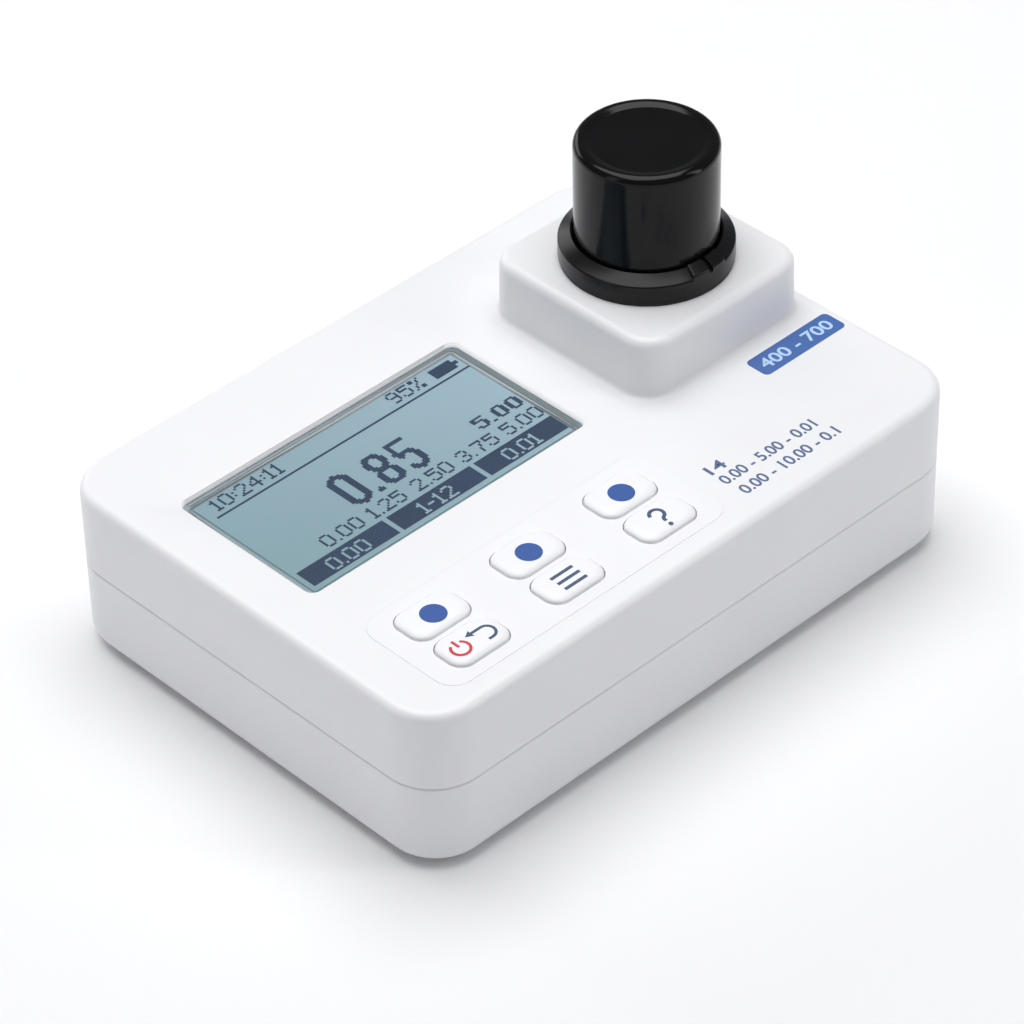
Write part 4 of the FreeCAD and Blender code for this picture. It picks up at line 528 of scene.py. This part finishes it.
# The dots are liquid crystal that lets little light back: navy, and a little uneven over the glass.
navy_dots = new_material("lcd_dots_navy", "2f445f", 0.34, {"IOR": 1.5})
tree = navy_dots.node_tree
point = add(tree, "ShaderNodeTexCoord").outputs["Object"]
cloud = add(tree, "ShaderNodeTexNoise", {"Scale": 1 / (9 * mm)}, {"Vector": point})
depth_of_tone = add(tree, "ShaderNodeMix", {"data_type": "RGBA", 6: linear("162b4a"), 7: linear("243d60")},
                    {0: cloud.outputs["Fac"]})
driven(tree, {"Base Color": depth_of_tone.outputs[2]})
dot_gap = 0.02 * mm
dot_height = 0.02 * mm
one_dot = bmesh.new()
bmesh.ops.create_cube(one_dot, size=1.0)
one_dot = made("one_dot", one_dot)
dots = grown("lcd_dots", copies,
             points_mesh("dot_places",
                         [matrix_corner + Vector(((column + 0.5) * pitch, (row + 0.5) * pitch,
                                                  dot_height / 2))
                          for column, row in sorted(lit)]),
             {"Piece": one_dot, "Scale": (pitch - dot_gap, pitch - dot_gap, dot_height),
              "Material": navy_dots})
finished(dots, navy_dots, "case", "display_glass")
bpy.data.objects.remove(one_dot)

# The pane is clear acrylic with a hard coat: almost unseen but for its bevelled, slightly green rim.
pane_low, pane_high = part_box("display_window")
clear_acrylic = new_material("acrylic_hard_coated", "8a989c", 0.05, {"IOR": 1.49, "Alpha": 0.04})
clear_acrylic.surface_render_method = "BLENDED"
finished(slab("pane", pane_low, pane_high, 2.0 * mm, 0.35 * mm), clear_acrylic, "case", "window_pane",
         "display_window")
# The bonding film is a dull grey foam tape whose grey-blue is partly painted shade, standing in for the
# shaded white ledge seen round the display, and the light guide behind the glass a milky sheet.
bond_film_and_shade = moulded("bonding_film_grey_and_painted_shade", "8d9da3", 0.5, 0.5, 0.003, "98a7ac")
light_guide = moulded("light_guide_white_acrylic", "eef3f6", 0.3, 0.8, 0.002, "e2eaee")
painted(bond_film_and_shade, "window_adhesive")
painted(light_guide, "lcd_backlight")


# Key panel and keys: a satin film lies flush in the deck round six keys moulded in a harder white plastic.
# Each key is a soft pillow with its sign printed on the flat middle.

# The film is fine-grained polyester, the keys are a shade whiter and glossier, and the inks are satin.
film_white = moulded("polyester_film_velvet", "f2f2f5", 0.5, 0.25, 0.003, "eeeef2", {"IOR": 1.57})
finished(welded("key_panel", "keypad_overlay"), film_white, "case", "overlay_film", "keypad_overlay")
key_white = moulded("white_abs_key", "f6f6f8", 0.42, 0.3, 0.002, "f1f1f5", {"IOR": 1.53})
ink_blue = moulded("pad_print_blue", "2e559f", 0.45, 0.4, 0.002, "345ba5")
ink_slate = moulded("pad_print_slate", "405272", 0.5, 0.4, 0.002, "495b7c")
ink_red = moulded("pad_print_red", "cf3338", 0.5, 0.4, 0.002, "d84148")
ink_height = 0.02 * mm
deck_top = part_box("keypad_overlay")[1].z
side_reach = 1.2 * mm
key_corner = 3.0 * mm
key_shoulder = 2.0 * mm
key_drop = 0.85 * mm
skirt = 0.14 * mm
skirt_outline = ((0, -0.5 * mm), (skirt, -0.25 * mm), (skirt, -0.1 * mm), (0, 0.05 * mm))


def pillow(name, node):
    """A key: a skirt in its gap, straight walls, and a rim that falls away over a wide shoulder."""
    low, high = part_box(node)
    centre = (low + high) / 2
    width = high.x - low.x - 2 * side_reach
    depth = high.y - low.y
    rings = [rounded_ring(width, depth, key_corner, centre, low.z)]
    rings += [rounded_ring(width + 2 * out, depth + 2 * out, key_corner + out, centre, deck_top + rise)
              for out, rise in skirt_outline]
    for step in range(9):
        turn = math.radians(step * 11.25)
        inset = key_shoulder * (1 - math.cos(turn))
        rings.append(rounded_ring(width - 2 * inset, depth - 2 * inset,
                                  max(key_corner - 0.4 * inset, 0.2 * mm), centre,
                                  high.z - key_drop + key_drop * math.sin(turn)))
    return lofted(name, rings, 60), centre, high.z


def print_on(name, curves, material, body, slot, origin):
    """Flat closed outlines in mm about an origin, printed as a thin layer of ink."""
    curve = bpy.data.curves.new(name, "CURVE")
    curve.dimensions = "2D"
    curve.fill_mode = "BOTH"
    curve.extrude = ink_height / 2
    for outline in curves:
        spline = curve.splines.new("POLY")
        spline.points.add(len(outline) - 1)
        for spot, (x, y) in zip(spline.points, outline):
            spot.co = (x * mm, y * mm, 0, 1)
        spline.use_cyclic_u = True
    return inked(name, curve, material, body, slot, origin)


def inked(name, curve, material, body, slot, origin):
    """Turn a flat curve or text into a mesh and lay it on the surface at its origin."""
    carrier = linked(name + "_curve", curve)
    bpy.context.view_layer.update()
    mesh = bpy.data.meshes.new_from_object(carrier.evaluated_get(bpy.context.evaluated_depsgraph_get()))
    bpy.data.objects.remove(carrier)
    shape = bmesh.new()
    shape.from_mesh(mesh)
    bmesh.ops.remove_doubles(shape, verts=shape.verts, dist=0.0005 * mm)
    bmesh.ops.translate(shape, verts=shape.verts, vec=origin + Vector((0, 0, ink_height / 2)))
    return finished(made(name, shape), material, body, slot)


def ring_outline(x, y, radius, steps=48, start=0.0, end=360.0):
    return bow(x, y, radius, radius, start, end, steps)


def stroke_outline(points, width):
    """The outline of a stroke of ink of even width along points."""
    left = []
    right = []
    for index, (x, y) in enumerate(points):
        before = Vector(points[max(index - 1, 0)])
        after = Vector(points[min(index + 1, len(points) - 1)])
        across = (after - before).normalized().orthogonal() * width / 2
        left.append((x + across.x, y + across.y))
        right.append((x - across.x, y - across.y))
    return left + right[::-1]


# The signs stand a little towards the front left of each key's middle.
dot_radius = 2.62
print_shift = Vector((-0.14 * mm, -0.45 * mm, 0))
for name, body, node in (("left_function_pillow", "left_function_key", "key_function_left"),
                         ("middle_function_pillow", "middle_function_key", "key_function_middle"),
                         ("right_function_pillow", "right_function_key", "key_function_right")):
    piece, centre, top = pillow(name, node)
    finished(piece, key_white, body, "key_plastic", node)
    print_on(name.replace("pillow", "dot"), [ring_outline(0, 0, dot_radius)], ink_blue, body, "key_plastic",
             Vector((centre.x, centre.y, top)) + print_shift)

signs = {}
for name, body, node in (("power_pillow", "power_key", "key_power"),
                         ("menu_pillow", "menu_key", "key_menu"), ("help_pillow", "help_key", "key_help")):
    piece, centre, top = pillow(name, node)
    finished(piece, key_white, body, "key_plastic", node)
    signs[body] = Vector((centre.x, centre.y, top)) + print_shift

sign_stroke = 0.62
power_x = -3.2
power_radius = 1.85
bar_stroke = 0.75
print_on("power_sign", [
    stroke_outline(bow(power_x, -0.1, power_radius, power_radius, 125, 415, 40), sign_stroke),
    stroke_outline([(power_x, 0.3), (power_x, 2.4)], sign_stroke),
], ink_red, "power_key", "key_plastic", signs["power_key"])
print_on("return_sign", [
    stroke_outline([(0.9, 1.5), (3.2, 1.5), *bow(3.2, -0.2, 1.7, 1.7, 90, -90, 20), (2.2, -1.9)],
                   sign_stroke),
], ink_slate, "power_key", "key_plastic", signs["power_key"])
print_on("return_arrow", [[(-0.6, 1.5), (0.9, 2.4), (0.9, 0.6)]], ink_slate, "power_key", "key_plastic",
         signs["power_key"])
print_on("menu_sign", [stroke_outline([(-2.8, y), (2.8, y)], bar_stroke) for y in (1.9, 0.0, -1.9)],
         ink_slate, "menu_key", "key_plastic", signs["menu_key"])
print_on("help_sign", [
    stroke_outline([*bow(0, 1.15, 1.45, 1.45, 170, -50, 24), *bow(1.2, -1.0, 1.2, 1.0, 120, 180, 8),
                    (0, -1.35)], bar_stroke),
    ring_outline(0, -2.5, 0.48, 20),
], ink_slate, "help_key", "key_plastic", signs["help_key"])


# Print on the deck: a blue badge and three lines of plain numbers beside the keys, screen printed after
# moulding. The ink is satin and a hair's breadth thick, so its rims catch no light.

boldness = 0.018


def numbers(name, text, height, width, material, origin, centred=False):
    """A line of plain numbers, so high and so wide in mm, printed at an origin."""
    curve = bpy.data.curves.new(name, "FONT")
    curve.body = text
    curve.extrude = ink_height / 2
    curve.offset = boldness
    piece = inked(name, curve, material, "case", "case_plastic", Vector((0, 0, 0)))
    spots = [vertex.co for vertex in piece.data.vertices]
    low = Vector((min(spot.x for spot in spots), min(spot.y for spot in spots), 0))
    high = Vector((max(spot.x for spot in spots), max(spot.y for spot in spots), 0))
    across = width * mm / (high.x - low.x)
    up = height * mm / (high.y - low.y)
    shift = (low + high) / 2 if centred else low
    stretch = Matrix.Diagonal((across, up, 1, 1))
    piece.data.transform(Matrix.Translation(origin) @ stretch @ Matrix.Translation(-shift))
    return piece


badge_blue = moulded("screen_print_badge_blue", "3f66aa", 0.4, 0.4, 0.002, "466db0")
badge_figures = moulded("screen_print_pale_blue", "b4d4fa", 0.4, 0.4, 0.002, "bddafb")
ink_text = moulded("screen_print_slate", "53678f", 0.5, 0.4, 0.002, "5b6f97")
badge_left, badge_right, badge_front, badge_back = 45.9, 68.8, -23.0, -17.0
badge_corner = 1.2
badge_ring = rounded_ring(badge_right - badge_left, badge_back - badge_front, badge_corner,
                          Vector(((badge_left + badge_right) / 2, (badge_front + badge_back) / 2, 0)), 0)
print_on("badge", [[(spot.x, spot.y) for spot in badge_ring]], badge_blue, "case", "case_plastic",
         Vector((0, 0, deck_top)))
numbers("badge_numbers", "400 - 700", 3.1, 19.4, badge_figures,
        Vector(((badge_left + badge_right) / 2 * mm, (badge_front + badge_back) / 2 * mm,
                deck_top + ink_height)), True)
for name, text, left, front, width in (("range_line_1", "14", 16.3, -36.6, 4.4),
                                       ("range_line_2", "0.00 - 5.00 - 0.01", 16.2, -40.5, 25.4),
                                       ("range_line_3", "0.00 - 10.00 - 0.1", 16.8, -45.1, 26.3)):
    numbers(name, text, 2.8, width, ink_text, Vector((left * mm, front * mm, deck_top)))


# Ring round the well: turned and polished black plastic, with a raised index lug that carries a groove.
# The cuvette's mark is set to that groove, so that the light always crosses the same walls of the glass.

shield_low, shield_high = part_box("light_shield")
well = Vector(((shield_low.x + shield_high.x) / 2, (shield_low.y + shield_high.y) / 2, 0))
block_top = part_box("ring_gasket")[0].z / mm
ring_radius = 17.44
ring_bore = 14.65
spigot_radius = 16.2
spigot_bore = 14.5
ring_foot = block_top + 0.5
ring_rim = block_top + 4.7
ring_crest = block_top + 6.3
rim_rounding = 0.5
lug_middle = -90.0
lug_half = 15.0
lug_rise = 0.8
groove_half = 1.9
groove_depth = 1.0
ring_steps = 720
ring_shape = bmesh.new()
loops = []
for step in range(ring_steps):
    angle = step * 360 / ring_steps
    off = (angle - lug_middle + 180) % 360 - 180
    rise = lug_rise * max(0.0, min(1.0, (lug_half - abs(off)) / 1.2))
    if abs(off) < groove_half:
        rise -= groove_depth * min(1.0, (groove_half - abs(off)) / 0.4)
    outline = [
        (spigot_bore, block_top - 3.5), (spigot_radius, block_top - 3.5), (spigot_radius, ring_foot),
        (ring_radius - 0.15, ring_foot), (ring_radius, ring_foot + 0.15),
        *[(ring_radius - rim_rounding + rim_rounding * math.cos(math.radians(turn)),
           ring_rim - rim_rounding + rim_rounding * math.sin(math.radians(turn)) + rise)
          for turn in (0, 18, 36, 54, 72)],
        (ring_bore + 0.35, ring_crest - 0.12 + rise * 0.6), (ring_bore, ring_crest - 0.35 + rise * 0.5),
        (ring_bore, block_top - 0.3), (spigot_bore, block_top - 0.3),
    ]
    turn = math.radians(angle)
    loops.append([ring_shape.verts.new((well.x + radius * mm * math.cos(turn),
                                        well.y + radius * mm * math.sin(turn), height * mm))
                  for radius, height in outline])
for step in range(ring_steps):
    here = loops[step]
    there = loops[(step + 1) % ring_steps]
    for index in range(len(here)):
        after = (index + 1) % len(here)
        ring_shape.faces.new((here[index], there[index], there[after], here[after]))
bmesh.ops.recalc_face_normals(ring_shape, faces=ring_shape.faces)
ring_black = moulded("black_abs_ring_satin", "0f0f10", 0.24, 0.3, 0.0015, "1c1c1d",
                     {"Specular IOR Level": 0.24})
finished(made("well_ring", ring_shape, 40), ring_black, "case", "gloss_black", "cuvette_ring")


# Light shield: a plain hollow cylinder in polished black ABS that keeps daylight off the sample.
# It drops over the cap into the ring, with a rounded rim and a shallow dish in its top.

shield_radius = (shield_high.x - shield_low.x) / 2 / mm
shield_foot = shield_low.z / mm
shield_top = shield_high.z / mm
shield_wall = 1.5
shield_rounding = 1.6
shield_dish = 0.5
shield_black = moulded("black_abs_polished", "09090a", 0.13, 6, 0.004, "121213",
                       {"Specular IOR Level": 0.2}, patch=10, gloss_change=0.2)
finished(turned("shield", [
    (0, shield_top - shield_dish),
    (shield_radius - 3.6, shield_top - shield_dish),
    (shield_radius - 3.0, shield_top - shield_dish + 0.12),
    (shield_radius - 2.2, shield_top - 0.04),
    *quarter(shield_radius - shield_rounding, shield_top - shield_rounding, shield_rounding, 90, 10),
    (shield_radius, shield_foot + 0.3),
    (shield_radius - 0.3, shield_foot),
    (shield_radius - shield_wall + 0.3, shield_foot),
    (shield_radius - shield_wall, shield_foot + 0.3),
    (shield_radius - shield_wall, shield_top - 2.0),
    (0, shield_top - 2.0),
], well, 192), shield_black, "shield", "gloss_black", "light_shield")


# Cuvette: a round borosilicate tube with a narrowed neck, fire polished at the rim, with a white fill
# line printed round it. Its black cap has grip grooves and holds a white foam disc that seals the rim.

tube_low, tube_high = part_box("glass_cuvette")
tube_radius = (tube_high.x - tube_low.x) / 2 / mm
tube_foot = tube_low.z / mm
tube_rim = tube_high.z / mm
tube_wall = 1.3
neck_radius = 10.3
neck_wall = 1.5
shoulder = tube_foot + 42.5
# Drawn glass is clear and bright, with long shallow waves that bend what is seen through it.
borosilicate = new_material("borosilicate_glass", "f4faf8", 0.02, {"IOR": 1.47, "Transmission Weight": 1.0})
tree = borosilicate.node_tree
point = add(tree, "ShaderNodeTexCoord").outputs["Object"]
draw_lines = add(tree, "ShaderNodeTexNoise", {"Scale": 1 / (6 * mm), "Detail": 1.0}, {"Vector": point})
waves = add(tree, "ShaderNodeBump", {"Distance": 0.01 * mm}, {"Height": draw_lines.outputs["Fac"]})
driven(tree, {"Normal": waves.outputs["Normal"]})
finished(turned("cuvette", [
    (0, tube_foot + 0.25),
    (tube_radius - 3, tube_foot + 0.1),
    (tube_radius - 1.2, tube_foot),
    *quarter(tube_radius - 1.0, tube_foot + 1.0, 1.0, 0, 6)[::-1],
    (tube_radius, shoulder),
    (tube_radius - 0.25, shoulder + 0.55),
    (neck_radius + 0.25, shoulder + 1.2),
    (neck_radius, shoulder + 1.6),
    (neck_radius, tube_rim - 0.4),
    (neck_radius - 0.4, tube_rim),
    (neck_radius - neck_wall + 0.4, tube_rim),
    (neck_radius - neck_wall, tube_rim - 0.4),
    (neck_radius - neck_wall, shoulder + 1.0),
    (tube_radius - tube_wall, shoulder - 0.6),
    (tube_radius - tube_wall, tube_foot + 2.4),
    (tube_radius - tube_wall - 1.0, tube_foot + 1.5),
    (0, tube_foot + 1.5),
], well), borosilicate, "cuvette", "clear_glass", "glass_cuvette")
line_low = tube_foot + 33.0
line_white = moulded("enamel_print_white", "f2f2f0", 0.4, 0.4, 0.003, "e9e9e6")
finished(turned("fill_line", [
    (tube_radius + 0.005, line_low), (tube_radius + 0.03, line_low),
    (tube_radius + 0.03, line_low + 0.6), (tube_radius + 0.005, line_low + 0.6),
], well), line_white, "cuvette", "clear_glass")

foam_white = moulded("polyethylene_foam_white", "efeeea", 0.75, 0.35, 0.03, "e2e0da")
painted(foam_white, "cap_liner")


def grip_tree():
    """A tree that presses upright grip grooves into a round wall between two heights."""
    sizes = ("Count", "Depth", "Low", "High", "Wall Radius")
    tree, given = opened_tree("grip_grooves", {"Mesh": "Geometry", "Axis": "Vector",
                                               **dict.fromkeys(sizes, "Float"), "Material": "Material"})
    spot = add(tree, "GeometryNodeInputPosition").outputs["Position"]
    arm = add(tree, "ShaderNodeVectorMath", {"operation": "SUBTRACT"},
              {0: spot, 1: given["Axis"]}).outputs[0]
    part = add(tree, "ShaderNodeSeparateXYZ", None, {0: arm}).outputs
    flat_arm = add(tree, "ShaderNodeCombineXYZ", None, {"X": part["X"], "Y": part["Y"]}).outputs[0]
    outward = add(tree, "ShaderNodeVectorMath", {"operation": "NORMALIZE"}, {0: flat_arm}).outputs[0]
    reach = add(tree, "ShaderNodeVectorMath", {"operation": "LENGTH"}, {0: flat_arm}).outputs["Value"]

    # Each row names a value and says how it follows from the ones before it.
    value = {"x": part["X"], "y": part["Y"], "z": part["Z"], "reach": reach,
             **{name: given[name] for name in sizes}}
    for name, operation, *sources in (
            ("angle", "ARCTAN2", "y", "x"),
            ("turned", "MULTIPLY", "angle", "Count"),
            ("wave", "COSINE", "turned"),
            ("crest", "MAXIMUM", "wave", 0.0),
            ("groove", "POWER", "crest", 2.5),
            ("above", "GREATER_THAN", "z", "Low"),
            ("below", "LESS_THAN", "z", "High"),
            ("between", "MULTIPLY", "above", "below"),
            ("outside", "GREATER_THAN", "reach", "Wall Radius"),
            ("on wall", "MULTIPLY", "between", "outside"),
            ("full press", "MULTIPLY", "groove", "Depth"),
            ("press", "MULTIPLY", "full press", "on wall"),
            ("inward", "MULTIPLY", "press", -1.0)):
        item = add(tree, "ShaderNodeMath", {"operation": operation},
                   {index: value.get(source, source) for index, source in enumerate(sources)})
        value[name] = item.outputs[0]
    offset = add(tree, "ShaderNodeVectorMath", {"operation": "SCALE"},
                 {0: outward, "Scale": value["inward"]})
    shaped = add(tree, "GeometryNodeSetPosition", None,
                 {"Geometry": given["Mesh"], "Offset": offset.outputs[0]})
    return closed_tree(tree, shaped.outputs["Geometry"], given["Material"])


cap_low, cap_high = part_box("cuvette_cap")
cap_radius = (cap_high.x - cap_low.x) / 2 / mm
cap_foot = cap_low.z / mm
cap_top = cap_high.z / mm
cap_bore = 10.6
cap_inside = cap_top - 2.0
cap_black = moulded("polypropylene_black", "1a1a1b", 0.42, 0.3, 0.004, "212122", {"IOR": 1.49})
plain_cap = turned("plain_cap", [
    (0, cap_inside),
    (cap_bore, cap_inside),
    (cap_bore, cap_foot + 0.3),
    (cap_bore + 0.3, cap_foot),
    (cap_radius - 0.2, cap_foot),
    (cap_radius, cap_foot + 0.2),
    (cap_radius, cap_foot + 0.9),
    *[(cap_radius, cap_foot + 1.0 + step * (cap_top - cap_foot - 2.4) / 8) for step in range(9)],
    (cap_radius, cap_top - 0.9),
    *quarter(cap_radius - 0.8, cap_top - 0.8, 0.8, 0, 6)[::-1],
    (0, cap_top),
], well, 288)
cap_mesh = plain_cap.data
bpy.data.objects.remove(plain_cap)
cap = grown("screw_cap", grip_tree(), cap_mesh,
            {"Axis": tuple(well), "Count": 24.0, "Depth": 0.5 * mm, "Low": (cap_foot + 0.95) * mm,
             "High": (cap_top - 1.35) * mm, "Wall Radius": (cap_radius - 0.3) * mm, "Material": cap_black})
finished(cap, cap_black, "cap", "cap_black", "cuvette_cap")


# Light path and well: black mouldings that swallow stray light, carrying lamp, lens, plate, filter and
# sensors. They are unseen in the closed case but for the well's bore when the cuvette is lifted out.

# The black is spark-eroded and matt. Resin, glass and filter are clear and bright, and can and spring are
# cloudy metal.
stray_light_black = moulded("black_acetal_spark_eroded", "121213", 0.6, 0.3, 0.008, "18181a")
lamp_resin = moulded("lamp_epoxy_clear", "d7e2e6", 0.08, 3, 0.001, "c9d6db",
                     {"IOR": 1.54, "Transmission Weight": 0.8})
optical_glass = new_material("optical_glass", "f2f8f8", 0.01, {"IOR": 1.52, "Transmission Weight": 1.0})
green_filter = moulded("bandpass_filter_green", "5d9c62", 0.06, 2, 0.0005, "6fa86c",
                       {"IOR": 1.6, "Transmission Weight": 0.6})
nickel_can = moulded("nickel_plated_can", "b9b29c", 0.3, 0.2, 0.002, "a7a08b", {"Metallic": 1.0}, patch=3,
                     gloss_change=0.25)
spring_steel = moulded("spring_steel_nickel", "c6c5c1", 0.25, 0.15, 0.002, "b2b1ad", {"Metallic": 1.0},
                       patch=2, gloss_change=0.3)
painted(stray_light_black, "cuvette_holder", "lamp_housing", "sensor_housing", "lcd_frame")
painted(lamp_resin, "lamp_led")
painted(optical_glass, "lamp_lens", "beam_splitter")
painted(green_filter, "colour_filter")
painted(nickel_can, "light_detector", "reference_detector")
painted(spring_steel, "cuvette_spring")


# Electronics: green glass-epoxy boards with copper tracks under the solder mask, black moulded parts, and
# an amber polyimide ribbon with its conductors half a millimetre apart.

solder_mask = new_material("solder_mask_green", "0f5a34", 0.32, {"IOR": 1.5, "Coat Weight": 0.3})
tree = solder_mask.node_tree
point = add(tree, "ShaderNodeTexCoord").outputs["Object"]
tracks = add(tree, "ShaderNodeTexBrick",
             {"offset": 0.37, "Scale": 1.0, "Color1": linear("0f5a34"), "Color2": linear("12613a"),
              "Mortar": linear("1f7a4a"), "Mortar Size": 0.15 * mm, "Mortar Smooth": 0.3,
              "Brick Width": 7.3 * mm, "Row Height": 1.27 * mm}, {"Vector": point})
step_up = add(tree, "ShaderNodeBump", {"Distance": 0.03 * mm, "Strength": 0.6},
              {"Height": tracks.outputs["Fac"]})
driven(tree, {"Base Color": tracks.outputs["Color"], "Normal": step_up.outputs["Normal"]})
epoxy_black = moulded("moulding_compound_black", "19191b", 0.55, 0.15, 0.004, "222224")
# One band of the wave texture is 0.314 units wide at a scale of 1.
plain_band = 0.314
conductor_pitch = 0.5 * mm
polyimide = new_material("polyimide_amber", "b0701c", 0.3, {"IOR": 1.7})
tree = polyimide.node_tree
point = add(tree, "ShaderNodeTexCoord").outputs["Object"]
conductors = add(tree, "ShaderNodeTexWave", {"bands_direction": "X", "Scale": plain_band / conductor_pitch},
                 {"Vector": point})
copper = add(tree, "ShaderNodeMix", {"data_type": "RGBA", 6: linear("b0701c"), 7: linear("8c4f12")},
             {0: conductors.outputs["Fac"]})
driven(tree, {"Base Color": copper.outputs[2]})
silicone_grey = moulded("silicone_mat_grey", "a3a8ad", 0.6, 0.4, 0.004, "adb2b6")
painted(solder_mask, "main_board", "lamp_board", "sensor_board")
painted(epoxy_black, "board_parts", "buzzer", "ribbon_socket")
painted(polyimide, "display_ribbon")
painted(silicone_grey, "keypad_mat")


# Power: three AA cells in a printed jacket with bare steel ends, nickel-plated plates and springs that
# touch them, and red insulated wires that lead to the board.

# The jacket is metallised film, dark with a copper-coloured end, and scuffed by handling.
copper_end = -6.5 * mm
edge_blur = 0.5 * mm
jacket = new_material("printed_jacket_dark", "2c3440", 0.3, {"Metallic": 0.6})
tree = jacket.node_tree
point = add(tree, "ShaderNodeTexCoord").outputs["Object"]
along = add(tree, "ShaderNodeSeparateXYZ", None, {0: point}).outputs["X"]
band = add(tree, "ShaderNodeMapRange", {"From Min": copper_end, "From Max": copper_end + edge_blur},
           {"Value": along})
scuffs = add(tree, "ShaderNodeTexNoise", {"Scale": 1 / (1.5 * mm), "Detail": 4.0}, {"Vector": point})
print_tone = add(tree, "ShaderNodeMix", {"data_type": "RGBA", 6: linear("232a35"), 7: linear("b5763a")},
                 {0: band.outputs["Result"]})
wear = add(tree, "ShaderNodeMapRange", {"To Min": 0.22, "To Max": 0.42}, {"Value": scuffs.outputs["Fac"]})
driven(tree, {"Base Color": print_tone.outputs[2], "Roughness": wear.outputs["Result"]})
wire_red = moulded("pvc_wire_red", "8c1c1c", 0.45, 0.5, 0.003, "9a2626")
painted(spring_steel, "battery_springs", "battery_contacts")
painted(jacket, "battery_cell_1", "battery_cell_2", "battery_cell_3")
painted(wire_red, "battery_leads", "sensor_leads")


# The photographer's table: a white paper sweep under one large soft light. A strip on each side lifts the
# upright faces, and a window behind draws the gleams on the black ring and cylinder.

floor_white = new_material("paper_sweep_white", "f7f7f8", 0.9)
floor_shape = bmesh.new()
bmesh.ops.create_grid(floor_shape, x_segments=1, y_segments=1, size=6.0)
floor = made("floor", floor_shape)
floor.data.materials.append(floor_white)
floor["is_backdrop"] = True


def soft_light(name, place, aim, width, height, watts, colour="ffffff"):
    """A rectangular soft box at a place that faces a point."""
    lamp = bpy.data.lights.new(name, "AREA")
    lamp.shape = "RECTANGLE"
    lamp.size = width
    lamp.size_y = height
    lamp.energy = watts
    lamp.color = linear(colour)[:3]
    item = linked(name, lamp)
    item.location = place
    item.rotation_euler = (Vector(aim) - Vector(place)).to_track_quat("-Z", "Y").to_euler()


soft_light("overhead", (0.06, 0.15, 1.1), (0, 0, 0), 1.05, 1.05, 12.2)
soft_light("left_strip", (-1.0, 0.15, 0.45), (0, 0, 0.05), 0.3, 0.9, 0.8)
soft_light("right_strip", (0.55, -0.75, 0.45), (0.03, 0, 0.05), 0.18, 0.9, 1.6)
soft_light("back_window", (0.1, 1.3, 0.5), (0, 0, 0.06), 0.9, 0.5, 3.0)
world = bpy.data.worlds.new("studio")
world.use_nodes = True
world.node_tree.nodes["Background"].inputs["Color"].default_value = linear("f5f8fc")
world.node_tree.nodes["Background"].inputs["Strength"].default_value = 0.18
bpy.context.scene.world = world
bpy.context.scene.view_settings.view_transform = "Standard"

# The camera stands where the photograph's perspective puts it: in front on the left, looking down.
camera_place = Vector((-465.79, -488.18, 569.0)) * mm
camera_right = Vector((0.7143, -0.6996, -0.0175))
camera_up = Vector((0.4527, 0.4429, 0.7739))
camera = linked("camera", bpy.data.cameras.new("camera"))
camera.data.lens = 158.2
camera.data.sensor_width = 36.0
camera.data.clip_start = 0.01
camera_back = camera_right.cross(camera_up).normalized()
camera_right = camera_up.cross(camera_back).normalized()
camera_up = camera_back.cross(camera_right)
turn = Matrix((camera_right, camera_up, camera_back)).transposed().to_4x4()
camera.matrix_world = Matrix.Translation(camera_place) @ turn
bpy.context.scene.camera = camera

low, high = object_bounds()
